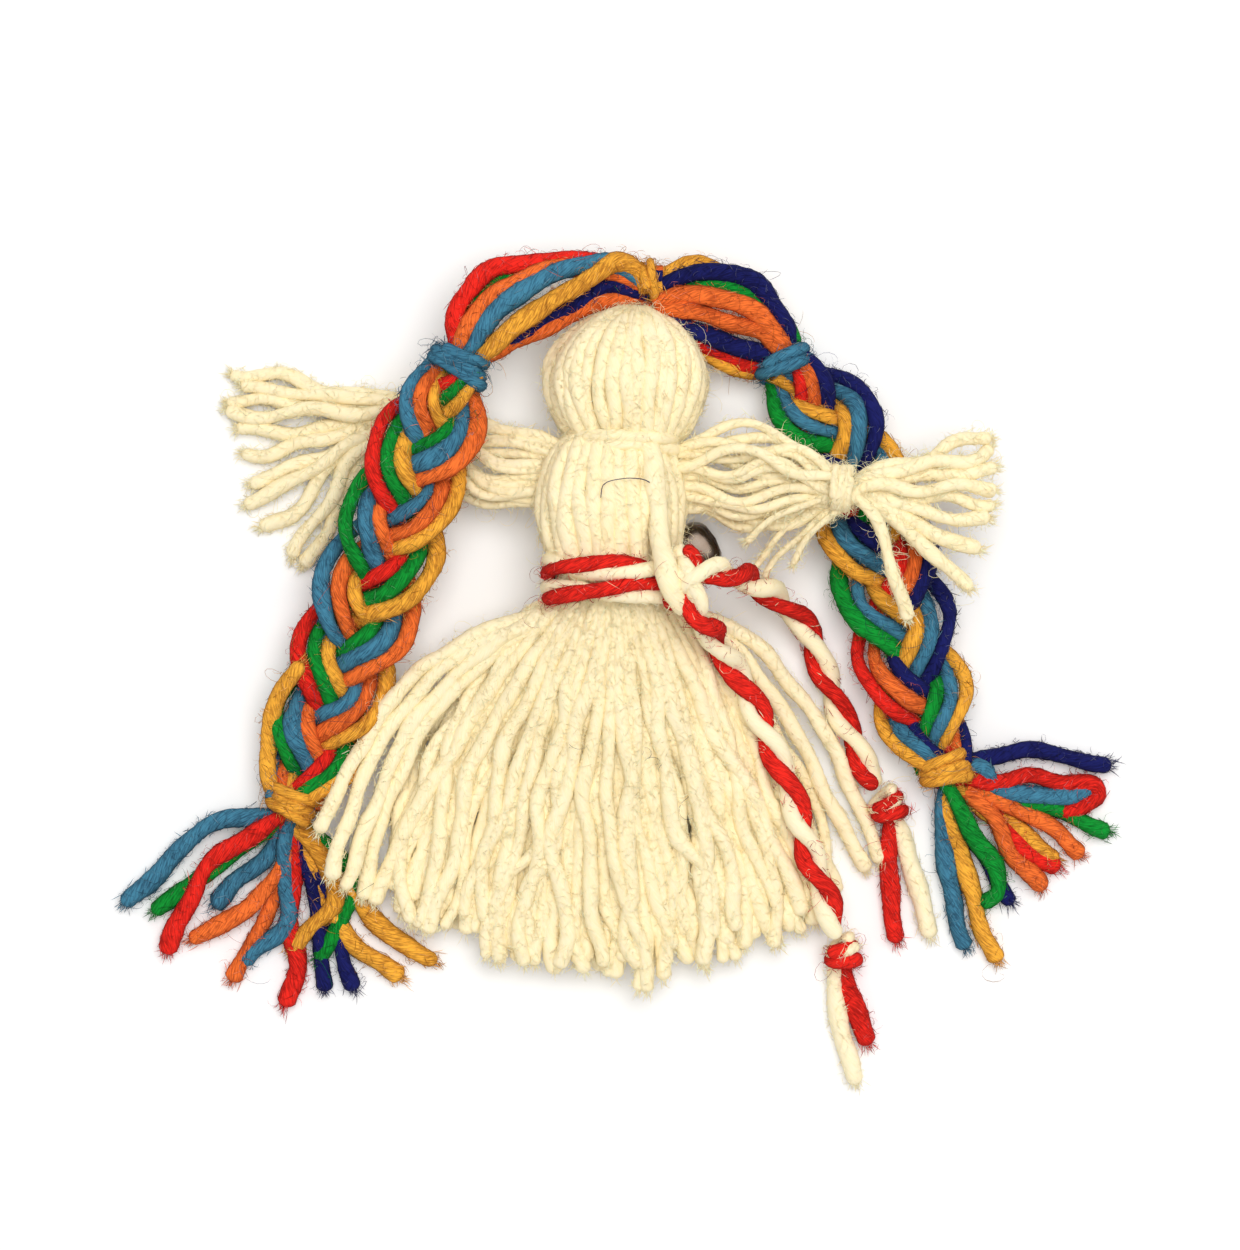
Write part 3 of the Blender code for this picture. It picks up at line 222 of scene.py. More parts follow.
RIGHT_HAND = (
    (0, ((26.9, 41.3), (31.3, 42.7), (35.8, 44.2), (40.9, 46.3))),
    (1, ((27.1, 41.1), (31.8, 42.2), (36.2, 43.0), (41.3, 44.4))),
    (0, ((27.1, 40.4), (31.8, 41.1), (36.4, 41.8), (41.8, 42.0))),
    (2, ((27.1, 40.0), (32.0, 40.2), (36.7, 40.0), (41.6, 40.4))),
    (0, ((27.1, 39.6), (32.0, 39.1), (36.7, 38.9), (41.6, 38.4))),
    (1, ((26.9, 39.3), (31.8, 38.2), (36.2, 36.9), (40.9, 36.4))),
    (0, ((26.9, 38.9), (31.1, 37.1), (35.3, 34.9), (40.0, 33.3))),
    (1, ((26.9, 38.7), (30.7, 36.4), (34.4, 33.1), (38.9, 28.9))),
    (3, ((26.4, 38.7), (28.4, 36.7), (29.8, 32.7), (30.7, 28.9), (32.0, 25.6))),
)
# The arms' yarns from inside the torso to the wrists, all cream
LEFT_ARM = (
    (-0.6, ((-6.2, 44.7), (-10.4, 46.0), (-14.7, 47.3), (-18.9, 48.2), (-23.1, 49.0))),
    (0.2, ((-6.2, 43.8), (-10.4, 44.9), (-14.7, 45.6), (-18.9, 46.7), (-23.1, 48.8))),
    (-0.4, ((-6.2, 42.9), (-10.4, 43.3), (-14.7, 44.2), (-18.9, 46.0), (-23.1, 48.7))),
    (0.6, ((-6.2, 42.2), (-10.4, 42.4), (-14.7, 43.6), (-18.9, 45.6), (-23.1, 48.7))),
    (-0.2, ((-6.2, 41.3), (-10.4, 40.9), (-14.7, 41.6), (-18.9, 44.2), (-23.1, 48.4))),
    (0.8, ((-6.2, 40.7), (-10.4, 39.8), (-14.7, 40.2), (-18.9, 43.1), (-23.1, 48.3))),
    (-0.8, ((-6.2, 39.8), (-10.4, 38.4), (-14.7, 38.9), (-18.9, 42.2), (-23.1, 48.2))),
)
RIGHT_ARM = (
    (-0.6, ((3.6, 40.0), (9.1, 38.3), (14.7, 37.1), (20.2, 37.6), (24.7, 38.9))),
    (0.2, ((3.8, 40.4), (9.1, 39.1), (14.0, 38.9), (19.3, 38.9), (24.7, 39.3))),
    (-0.4, ((4.0, 41.3), (8.7, 40.7), (13.1, 40.2), (18.9, 39.8), (24.7, 39.6))),
    (0.6, ((4.0, 41.8), (8.4, 42.0), (13.1, 41.1), (18.7, 41.1), (24.7, 39.8))),
    (-0.2, ((3.6, 42.2), (8.0, 43.1), (12.4, 43.6), (18.7, 42.2), (24.7, 40.0))),
    (0.8, ((3.6, 43.1), (8.2, 43.8), (13.6, 44.7), (18.4, 43.6), (21.8, 41.8), (24.9, 40.0))),
    (0.2, ((3.6, 43.1), (8.0, 44.9), (12.4, 46.0), (17.3, 45.6), (20.9, 43.8), (23.3, 41.6), (24.9, 40.2))),
    (1.4, ((3.8, 42.4), (9.1, 42.7), (14.9, 43.1), (20.2, 41.6), (24.9, 40.0))),
    (-1.0, ((4.2, 39.3), (10.2, 37.7), (16.7, 36.9), (21.6, 37.7), (24.9, 38.7))),
)
LOCKS = {"left": LEFT_LOCK, "right": RIGHT_LOCK}
TASSELS = {"left": LEFT_TASSEL, "right": RIGHT_TASSEL}
HANDS = {"left": LEFT_HAND, "right": RIGHT_HAND}
ARMS = {"left": LEFT_ARM, "right": RIGHT_ARM}
# How far each arm's yarns wave, how far apart its layers are, and half the height of its wrist's winding, all
# in mm
ARM_SHAPES = {"left": (0.6, 1.0, 1.6), "right": (1.0, 1.4, 1.85)}
# The way each side tie is wound, and its turns
SIDE_WINDINGS = {"left": ((-0.4, -0.92, 0), 2.7), "right": ((0.44, -0.9, 0), 1.8)}
CROWN_LOOKS = ("orange", "navy", "gold", "teal", "orange", "red", "green")

# Single yarns in mm: short loose ends that stick back from the right wrist, the outermost strands on each
# side of the skirt, the strand over the belt, a shed hair on the torso, the line the skirt's loose hairs
# stand on, and the loose yarn beside the left plait
WRIST_ENDS = (
    ((25.4, 39.6, 10.8), (20.6, 37.2, 10.2), (17.4, 34.6, 9.2), (14.9, 31.0, 8.0)),
    ((25.2, 39.4, 11.2), (21.4, 36.0, 10.2), (18.2, 33.2, 8.8), (16.2, 30.2, 7.6)),
    ((25.4, 39.0, 11.6), (22.4, 36.2, 11.0), (20.4, 34.0, 10.2), (19.4, 31.6, 9.4)),
    ((25.2, 40.0, 11.8), (19.8, 38.0, 12.0), (16.4, 36.4, 11.2), (14.2, 34.0, 10.2)),
)
SKIRT_WISPS = (
    ((-8.2, 26.4, 8.6), (-15.3, 24.0, 7.4), (-20.9, 20.9, 6.2), (-25.1, 16.7, 5.2), (-28.4, 11.7, 4.9),
        (-31.3, 6.1, 5.8), (-33.3, 2.0, 6.6)),
    ((-8.0, 26.2, 9.2), (-16.4, 22.4, 7.2), (-22.0, 17.8, 5.4), (-25.9, 12.8, 4.6), (-28.9, 6.7, 4.8),
        (-31.1, 0.0, 6.0), (-31.8, -3.3, 6.2)),
    ((-8.0, 26.0, 9.4), (-13.1, 23.3, 8.0), (-19.8, 17.8, 5.6), (-24.2, 11.7, 4.4), (-27.3, 4.4, 4.0),
        (-29.6, -2.2, 4.6), (-30.6, -4.4, 4.8)),
    ((-7.6, 25.8, 9.2), (-15.3, 20.6, 6.6), (-21.4, 13.9, 4.6), (-25.1, 6.7, 3.4), (-27.3, 0.0, 3.0),
        (-28.7, -5.6, 3.2)),
    ((8.6, 26.4, 8.4), (14.7, 23.3, 6.0), (19.7, 17.8, 3.6), (24.1, 11.1, 2.0), (27.2, 4.0, 1.3),
        (29.4, -1.6, 1.2)),
    ((8.4, 26.2, 8.4), (13.6, 21.7, 6.2), (18.6, 15.0, 3.8), (22.4, 7.8, 2.2), (25.8, 1.1, 1.3),
        (27.8, -2.6, 1.2)),
    ((8.2, 25.8, 9.0), (13.0, 18.9, 6.0), (17.4, 10.0, 4.0), (20.8, 1.1, 2.4), (22.7, -6.1, 1.4)),
)
STRAND_OVER_BELT = ((2.9, 45.2, 11.6), (3.9, 42.6, 13.1), (4.3, 38.6, 13.8), (4.4, 35.2, 14.6),
                    (5.0, 31.9, 17.0), (6.0, 29.0, 17.4), (7.5, 26.4, 15.8))
SHED_HAIR = ((-1.7, 38.9, 14.9), (-1.4, 40.4, 15.1), (0.7, 41.1, 15.2), (2.6, 41.0, 15.0),
             (3.5, 40.6, 14.7))
SKIRT_STRAYS = ((-9.0, 2.0, 6.4), (-2.0, 14.0, 9.6), (9.0, 4.0, 7.0))
LOOSE_GOLD = ((-35.0, 20.9, 7.4), (-36.9, 18.2, 6.8), (-38.6, 14.4, 5.0), (-39.0, 10.0, 4.2),
              (-38.4, 6.6, 4.6), (-36.8, 4.4, 5.8))

# The belt's turns, each its piece, seed, the way it slopes, the length of one turn of its cord, and where a
# red yarn crests in front
BELT_TURNS = (("belt_turn_upper", 51, -1, 19.0 * MM, -5.6 * MM),
              ("belt_turn_lower", 52, 1, 26.0 * MM, -2.6 * MM))
# The cords' ends that leave the knot for the tails, in mm
KNOT_STUBS = {"left": ((6.6, 31.0, 15.9), (7.6, 29.3, 17.2), (8.6, 26.6, 16.7)),
              "right": ((6.4, 29.4, 16.2), (8.0, 30.4, 17.4), (10.2, 30.9, 16.9))}
# The belt's free tails run from its knot over the skirt and down to the table
TAIL_ROUTES = {
    "left": ((0.0093, 0.0254, 0.0152), (0.0101, 0.0243, 0.0136), (0.0109, 0.0231, 0.0114),
             (0.0119, 0.0215, 0.0094), (0.0133, 0.0193, 0.0081), (0.0151, 0.0160, 0.0073),
             (0.0172, 0.0114, 0.0067), (0.0192, 0.0064, 0.0062), (0.0208, 0.0014, 0.0058),
             (0.0222, -0.0031, 0.0054), (0.0234, -0.0066, 0.0050), (0.0243, -0.0094, 0.0041)),
    "right": ((0.0117, 0.0305, 0.0152), (0.0131, 0.0303, 0.0133), (0.0146, 0.0297, 0.0106),
              (0.0165, 0.0288, 0.0079), (0.0184, 0.0274, 0.0055), (0.0203, 0.0254, 0.0036),
              (0.0219, 0.0227, 0.0025), (0.0231, 0.0196, 0.0020), (0.0244, 0.0162, 0.0019),
              (0.0258, 0.0129, 0.0019), (0.0274, 0.0097, 0.0019), (0.0289, 0.0069, 0.0019)),
}
TAIL_PHASE = {"left": 1.5, "right": 0.85}
# The two yarns below each tail's knot, in mm
TAIL_ENDS = {
    "left": {"white": ((24.5, -14.0), (24.5, -18.6), (25.7, -23.2), (26.7, -26.4)),
             "red": ((25.4, -13.3), (26.0, -16.7), (27.1, -19.8), (28.2, -21.9))},
    "right": {"red": ((30.3, 1.6), (30.4, -3.0), (30.6, -7.0), (31.0, -10.6)),
              "white": ((31.4, 2.0), (32.9, -2.0), (34.1, -6.4), (34.9, -10.0))},
}

# The floor, and how wide a strip of the table the picture shows
FLOOR_REACH = 1.5
SEEN_WIDTH = 138.9 * MM


def linear(red, green, blue):
    """A screen colour from 0 to 255 as the linear values a shader takes."""
    screen = np.array((red, green, blue)) / 255
    low, high = screen / 12.92, ((screen + 0.055) / 1.055) ** 2.4
    return (*np.where(screen <= 0.04045, low, high).tolist(), 1.0)


def colour_property(words, *screen):
    """A colour that the user can change, given as it looks on a screen."""
    return bpy.props.FloatVectorProperty(name=words, description=f"Colour of the {words.lower()} wool",
                                         subtype="COLOR", size=4, min=0, max=1, default=linear(*screen))


def length_property(words, description, default, least):
    """A length that the user can change."""
    return bpy.props.FloatProperty(name=words, description=description, default=default, min=least,
                                   unit="LENGTH", precision=5)


class DollColours(bpy.types.PropertyGroup):
    cream: colour_property("Cream", 254, 240, 202)
    red: colour_property("Red", 226, 40, 30)
    orange: colour_property("Orange", 246, 112, 48)
    gold: colour_property("Gold", 246, 168, 58)
    green: colour_property("Green", 16, 140, 48)
    teal: colour_property("Teal", 64, 122, 148)
    navy: colour_property("Navy", 26, 30, 92)
    white: colour_property("White", 254, 241, 206)
    metal: bpy.props.FloatVectorProperty(name="Pin", description="Colour of the safety pin's plated wire",
                                         subtype="COLOR", size=4, min=0, max=1,
                                         default=linear(196, 190, 180))


class DollSizes(bpy.types.PropertyGroup):
    yarn: length_property("Yarn", "Thickness of one yarn", 1.95 * MM, 0.5 * MM)
    fibre: length_property("Fibre", "Thickness of one loose fibre", 0.12 * MM, 0.01 * MM)
    fibre_length: length_property("Fibre length", "How far the longest short fibres stand", 2.6 * MM,
                                  0.1 * MM)
    fibres_per_mm: bpy.props.FloatProperty(name="Fibres", description="Loose fibres on a millimetre of yarn",
                                           default=6.5, min=0)
    ply_twist: length_property("Yarn twist", "Length of one turn of the yarn's plies", 12.0 * MM, 1 * MM)
    cord_twist: length_property("Cord twist", "Length of one turn of the belt's two yarns", 11.6 * MM, 2 * MM)


class DollStage(bpy.types.PropertyGroup):
    floor: bpy.props.FloatVectorProperty(name="Floor", description="Colour of the floor", subtype="COLOR",
                                         size=4, min=0, max=1, default=(0.93, 0.925, 0.92, 1.0))
    height: bpy.props.FloatProperty(name="Camera height", description="How far the camera is above the table",
                                    default=0.62, min=0.1, unit="LENGTH")
    lamp: bpy.props.FloatProperty(name="Lamp", description="Power of the main lamp", default=7.4, min=0,
                                  unit="POWER")
    sky: bpy.props.FloatProperty(name="Sky", description="Strength of the light from all round", default=0.5,
                                 min=0)


def unit(vectors):
    """Vectors brought to length one."""
    return vectors / np.maximum(np.linalg.norm(vectors, axis=-1, keepdims=True), 1e-12)


def run_along(points):
    """Length run from the first point to each point of a path."""
    return np.concatenate(([0.0], np.cumsum(np.linalg.norm(np.diff(points, axis=0), axis=1))))


def share_along(points):
    """The same as a share of the whole length, 0 to 1."""
    run = run_along(points)
    return run / run[-1]


def even(points, step=YARN_STEP):
    """The same path with points at even steps of length."""
    points = np.asarray(points, float)
    run = run_along(points)
    wanted = np.linspace(0, run[-1], max(5, int(round(run[-1] / step)) + 1))
    return np.stack([np.interp(wanted, run, points[:, k]) for k in range(3)], axis=1)


def through(points, step=YARN_STEP):
    """Catmull-Rom curve through points: between b and c, with a before and d after and t from 0 to 1, it is
    half of 2b + (c - a)t + (2a - 5b + 4c - d)t^2 + (3b - a - 3c + d)t^3."""
    given = np.asarray(points, float)
    padded = np.vstack((2 * given[0] - given[1], given, 2 * given[-1] - given[-2]))
    a, b, c, d = (padded[i:len(padded) - 3 + i, None, :] for i in range(4))
    t = np.linspace(0, 1, CURVE_STEPS, endpoint=False)[None, :, None]
    fine = (2 * b + (c - a) * t + (2 * a - 5 * b + 4 * c - d) * t ** 2
            + (3 * b - a - 3 * c + d) * t ** 3) / 2
    return even(np.vstack((fine.reshape(-1, 3), given[-1:])), step)


def through_mm(places):
    """The same curve through places in mm, on the table where they have no height."""
    return through([(x * MM, y * MM, sum(height) * MM) for x, y, *height in places])


def ease(share):
    """0 to 1 with a level start and end: 3s^2 - 2s^3."""
    share = np.clip(share, 0, 1)
    return share * share * (3 - 2 * share)


def frames_on(path, reference=UP):
    """At each point of a path: the way along it, across it square to the reference, and up from both."""
    along = unit(np.gradient(path, axis=0))
    across = unit(np.cross(along, np.broadcast_to(reference, along.shape)))
    return along, across, np.cross(across, along)


def turned(angle, first, second):
    """cos q times the first direction and sin q times the second, for each angle q."""
    return np.cos(angle)[:, None] * first + np.sin(angle)[:, None] * second


def rings_round(path, radius, sides, across, up):
    """Rings of points square to a path: at angle q a point is radius (cos q across + sin q up) from it."""
    turn = np.linspace(0, 2 * math.pi, sides, endpoint=False)
    ring = (np.cos(turn)[None, :, None] * across[:, None, :] + np.sin(turn)[None, :, None] * up[:, None, :])
    return path[:, None, :] + radius[:, :, None] * ring


def ring_faces(rings, sides):
    """Faces that join neighbouring rings of points: each one's ring, its column, and index rows of four."""
    rows, columns = np.meshgrid(np.arange(rings - 1), np.arange(sides), indexing="ij")
    nearby = (columns + 1) % sides
    quads = np.stack((rows * sides + columns, rows * sides + nearby, (rows + 1) * sides + nearby,
                      (rows + 1) * sides + columns), axis=-1).reshape(-1, 4)
    return rows, columns, quads


def placed(name, data):
    """A new object with this data, linked to the scene at the origin."""
    made = bpy.data.objects.new(name, data)
    bpy.context.scene.collection.objects.link(made)
    return made


class Skein:
    """Yarns and fibres gathered into one mesh."""

    def __init__(self, name, seed, floor=FLOOR_GAP):
        self.name = name
        self.floor = floor
        self.random = np.random.default_rng(seed)
        self.points, self.faces, self.looks, self.uvs, self.shades = [], [], [], [], []
        self.count = 0

    def add(self, points, faces, look, uvs, shade):
        """Keeps one surface: its points, its faces as index rows of one length, and each face corner's UV."""
        self.points.append(points)
        self.faces.append([rows + self.count for rows in faces])
        self.looks.append(LOOKS.index(look))
        self.uvs.append(uvs)
        self.shades.append(np.broadcast_to(shade, len(points)))
        self.count += len(points)

    def yarn(self, path, look, width=None, reference=UP, fuzz=1.0, tips=(1, 1), arc=1.0):
        """A yarn carried along a path. At angle q and length s its radius is
        half(s) (1 + 0.05 cos(2q - spin(s))), where spin turns once in each twist length and half(s) wavers
        by a few percent. The path is crimped by the sum of two sines across it and up it. At a free end, x of
        the half width from the tip, the radius is drawn in by sqrt(1 - (1 - x)^2). Nothing goes below the
        skein's floor."""
        sizes = bpy.context.scene.doll_sizes
        width = sizes.yarn if width is None else width
        path = even(path)
        run = run_along(path)
        near = END_RINGS * TIP_REACH * np.mean(width)
        clear = near[-1] * 1.3
        wanted = run[(run > clear * (tips[0] > 0)) & (run < run[-1] - clear * (tips[1] > 0))]
        wanted = np.concatenate((near if tips[0] else run[:1], wanted,
                                 run[-1] - near[::-1] if tips[1] else run[-1:]))
        wanted = np.unique(np.round(wanted, 8))
        path = np.stack([np.interp(wanted, run, path[:, k]) for k in range(3)], axis=1)
        run = run_along(path)
        _, across, up = frames_on(path, reference)
        crimp = self.random.uniform(0, 2 * math.pi, 4)[:, None]
        bent = [np.sin(run / (1.15 * MM) + crimp[k]) + 1.3 * np.sin(run / (2.1 * MM) + crimp[k + 2])
                for k in (0, 1)]
        path = path + CRIMP * (bent[0][:, None] * across + 0.6 * bent[1][:, None] * up)
        path[:, 2] = np.maximum(path[:, 2], 0.42 * np.max(width) + self.floor)
        half = np.interp(run / run[-1], np.linspace(0, 1, np.size(width)), np.ravel(width)) / 2
        waver = self.random.uniform(0, 2 * math.pi, 3)
        half = half * (1 + 0.07 * np.sin(run / (2.3 * MM) + waver[0])
                       + 0.05 * np.sin(run / (0.9 * MM) + waver[1]))
        room = np.minimum(run if tips[0] else 1.0, run[-1] - run if tips[1] else 1.0)
        drawn = 1 - (1 - np.clip(room / (TIP_REACH * np.mean(width)), 0, 1)) ** 2
        half = half * np.sqrt(np.clip(drawn, 0.05, 1))
        along, across, up = frames_on(path, reference)
        turn = np.linspace(0, 2 * math.pi, YARN_SIDES, endpoint=False)
        spin = waver[2] + 2 * math.pi * run / sizes.ply_twist
        uneven = 0.03 * self.random.normal(size=(len(path), YARN_SIDES)).clip(-2, 2)
        radius = half[:, None] * (1 + 0.05 * np.cos(2 * turn[None, :] - spin[:, None]) + uneven)
        skin = rings_round(path, radius, YARN_SIDES, across, up)
        skin[..., 2] = np.maximum(skin[..., 2], self.floor)
        rows, columns, quads = ring_faces(len(path), YARN_SIDES)
        twist = (spin - spin[0]) / (2 * math.pi)
        around = np.stack((columns, columns + 1, columns + 1, columns), axis=-1) / YARN_SIDES
        around = around - np.stack((twist[rows], twist[rows], twist[rows + 1], twist[rows + 1]), axis=-1)
        along_uv = np.stack((run[rows], run[rows], run[rows + 1], run[rows + 1]), axis=-1)
        uv = np.stack((around.ravel(), along_uv.ravel() / MM), axis=-1)
        first = np.arange(YARN_SIDES)
        ends = np.array((first[::-1], (len(path) - 1) * YARN_SIDES + first))
        caps = np.stack((np.zeros(2 * YARN_SIDES), np.repeat((0.0, run[-1] / MM), YARN_SIDES)), axis=-1)
        self.add(skin.reshape(-1, 3), [quads, ends], look, np.vstack((uv, caps)), self.random.uniform(0, 1))
        if fuzz:
            self.fuzz(path, half, (along, across, up), look, fuzz, tips, arc)

    def fuzz(self, path, half, frames, look, amount, tips, arc=1.0):
        """Loose fibres: a nap that lies along the yarn and round it, a halo of longer ones that lift off it,
        a few that stand away in long open curls, and a tuft at each free end. They grow on the arc of the
        yarn that is centred on its upper side and is that share of the way round."""
        sizes = bpy.context.scene.doll_sizes
        along, across, up = frames
        run = run_along(path)
        length = sizes.fibre_length
        for dense, shortest, longest, low, high, steps, turns, thickness, shades in FIBRE_KINDS:
            count = int(run[-1] / MM * (sizes.fibres_per_mm * dense) * amount)
            if not count:
                continue
            place = np.searchsorted(run, self.random.uniform(0, run[-1], count)).clip(0, len(path) - 1)
            angle = math.pi * (0.5 + arc * self.random.uniform(-1, 1, count))
            out = turned(angle, across[place], up[place])
            around = np.cross(along[place], out) * self.random.choice((-1, 1), count)[:, None]
            onward = self.random.choice((-1, 1), count) * self.random.uniform(0.3, 1.2, count)
            heading = unit(out * self.random.uniform(low, high, count)[:, None]
                           + along[place] * onward[:, None]
                           + around * self.random.uniform(0, 0.8, count)[:, None])
            start = path[place] + out * (half[place][:, None] + 0.03 * MM)
            reach = length * (shortest + (longest - shortest) * self.random.uniform(0, 1, count) ** 1.6)
            self.fibres(start, heading, reach, look, thickness, steps, turns, shades,
                        around - out * 0.35 * (not turns))
        for end in (0, -1):
            if not tips[end]:
                continue
            count = int(TUFT_FIBRES * amount)
            onward = along[end] * (1 if end else -1)
            heading = unit(onward + self.random.normal(0, 0.4, (count, 3)))
            start = path[end] - onward * 0.4 * MM + self.random.normal(0, 0.32, (count, 3)) * np.mean(half)
            reach = length * self.random.uniform(0.2, 0.6, count)
            self.fibres(start, heading, reach, look, 0.75, NAP_STEPS, 0.0, (-2.0, 3.5))

    def strays(self, path, look, count, reach):
        """Long loose fibres that stand off a path in open curls."""
        path = even(path)
        along, across, up = frames_on(path)
        place = self.random.integers(0, len(path), count)
        angle = self.random.uniform(0, 2 * math.pi, count)
        out = turned(angle, across[place], up[place] * 0.5)
        heading = unit(out + along[place] * self.random.normal(0, 0.6, count)[:, None])
        length = reach * self.random.uniform(0.5, 1.0, count)
        self.fibres(path[place], heading, length, look, 0.5, STRAY_STEPS, 7.0, (-5.0, 1.0))

    def fibres(self, start, heading, length, look, thickness, steps, turns, shades, towards=None):
        """Thin three-sided tubes, pointed at both ends. At share t of its length L a short fibre is at
        start + L (heading t + side bend t^2), and one that curls at a rate w is at
        start + L (heading sin(wt) / w + side (1 - cos(wt)) / w + other 0.4 bend t)."""
        count = len(start)
        fibre = bpy.context.scene.doll_sizes.fibre * thickness
        lean = self.random.normal(size=(count, 3))
        if towards is not None:
            lean = unit(lean) * 0.4 + towards
        other = unit(np.cross(heading, lean))
        side = np.cross(other, heading)
        t = np.linspace(0, 1, steps)[None, :, None]
        bend = self.random.uniform(0.05, 0.5, count)[:, None, None]
        way = heading[:, None, :] * t + side[:, None, :] * bend * t * t
        if turns:
            rate = self.random.uniform(0.4, 1.0, count)[:, None, None] * turns
            way = (heading[:, None, :] * np.sin(rate * t) / rate
                   + side[:, None, :] * (1 - np.cos(rate * t)) / rate + other[:, None, :] * bend * 0.4 * t)
        line = start[:, None, :] + length[:, None, None] * way
        line[..., 2] = np.maximum(line[..., 2], self.floor)
        angle = np.linspace(0, 2 * math.pi, FIBRE_SIDES, endpoint=False)
        ring = (np.cos(angle)[None, None, :, None] * other[:, None, None, :]
                + np.sin(angle)[None, None, :, None] * side[:, None, None, :])
        inner = line[:, 1:-1, None, :] + ring * (fibre / 2 * (1 - 0.4 * t[:, 1:-1, :, None]))
        rings = steps - 2
        each = rings * FIBRE_SIDES + 2
        skin = np.concatenate((inner.reshape(count, -1, 3), line[:, :1], line[:, -1:]), axis=1)
        base = np.arange(count)[:, None] * each
        column = np.arange(FIBRE_SIDES)[None, :]
        nearby = (column + 1) % FIBRE_SIDES
        first, last = base + each - 2 + 0 * column, base + each - 1 + 0 * column
        top = base + (rings - 1) * FIBRE_SIDES
        ends = ((base + nearby, base + column, first), (top + column, top + nearby, last))
        faces = [np.concatenate([np.stack(corners, axis=-1).reshape(-1, 3) for corners in ends])]
        if rings > 1:
            step = base[:, :, None] + np.arange(rings - 1)[None, :, None] * FIBRE_SIDES
            low, high = step + column[:, None, :], step + nearby[:, None, :]
            quads = np.stack((low, high, high + FIBRE_SIDES, low + FIBRE_SIDES), axis=-1)
            faces.append(quads.reshape(-1, 4))
        # Each fibre's shade: high ones are painted with a highlight, low ones with a shadow.
        shade = np.repeat(self.random.uniform(*shades, count), each)
        self.add(skin.reshape(-1, 3), faces, look, np.zeros((sum(rows.size for rows in faces), 2)), shade)

    def knit(self):
        """Makes the mesh object from everything gathered."""
        mesh = bpy.data.meshes.new(self.name)
        points = np.vstack(self.points)
        groups = [rows for faces in self.faces for rows in faces]
        totals = np.concatenate([np.full(len(rows), rows.shape[1]) for rows in groups])
        corners = np.concatenate([rows.ravel() for rows in groups])
        looks = np.concatenate([np.full(sum(len(rows) for rows in faces), look)
                                for faces, look in zip(self.faces, self.looks)])
        starts = np.concatenate(([0], np.cumsum(totals)[:-1]))
        mesh.vertices.add(len(points))
        mesh.vertices.foreach_set("co", points.astype(np.float32).ravel())
        mesh.loops.add(len(corners))
        mesh.loops.foreach_set("vertex_index", corners.astype(np.int32))
        mesh.polygons.add(len(totals))
        mesh.polygons.foreach_set("loop_start", starts.astype(np.int32))
        used = sorted(set(looks.tolist()))
        for number in used:
            mesh.materials.append(wool(LOOKS[number]))
        mesh.polygons.foreach_set("material_index", np.searchsorted(used, looks).astype(np.int32))
        layer = mesh.uv_layers.new(name="UVMap")
        layer.data.foreach_set("uv", np.vstack(self.uvs).astype(np.float32).ravel())
        shade = mesh.attributes.new("shade", "FLOAT", "POINT")
        shade.data.foreach_set("value", np.concatenate(self.shades).astype(np.float32))
        mesh.update(calc_edges=True)
        mesh.validate()
        mesh.shade_smooth()
        return placed(self.name, mesh)


def new_material(name):
    """A new material, its node tree and its Principled shader."""
    made = bpy.data.materials.new(name)
    made.use_nodes = True
    return made, made.node_tree, made.node_tree.nodes["Principled BSDF"]


def set_sockets(node, values):
    """Writes values on a node's own input sockets."""
    for name, value in values.items():
        node.inputs[name].default_value = value


def opaque(colour, shift=0.0):
    """A colour with an amount added, kept from 0 to 1, and a full alpha."""
    return (*np.clip(colour + shift, 0, 1), 1.0)


def math_node(tree, operation, first, second):
    """A Math node on two sockets or numbers."""
    node = tree.nodes.new("ShaderNodeMath")
    node.operation = operation
    for socket, value in zip(node.inputs, (first, second)):
        if isinstance(value, (int, float)):
            socket.default_value = value
        else:
            tree.links.new(value, socket)
    return node.outputs[0]


def noise_node(tree, vector, scale, detail):
    """A Noise texture on a vector."""
    node = tree.nodes.new("ShaderNodeTexNoise")
    set_sockets(node, {"Scale": scale, "Detail": detail})
    tree.links.new(vector, node.inputs["Vector"])
    return node.outputs["Fac"]


def mixed(tree, factor, first, second):
    """A colour between two colour sockets."""
    node = tree.nodes.new("ShaderNodeMix")
    node.data_type = "RGBA"
    for name, socket in (("Factor", factor), ("A", first), ("B", second)):
        tree.links.new(socket, node.inputs[name])
    return node.outputs["Result"]


def less_clamped(tree, first, second):
    """The first less the second, kept from 0 to 1."""
    node = tree.nodes.new("ShaderNodeClamp")
    tree.links.new(math_node(tree, "SUBTRACT", first, second), node.inputs["Value"])
    return node.outputs[0]


def attribute_node(tree, name):
    """A number that each point of the mesh carries."""
    node = tree.nodes.new("ShaderNodeAttribute")
    node.attribute_name = name
    return node.outputs["Fac"]


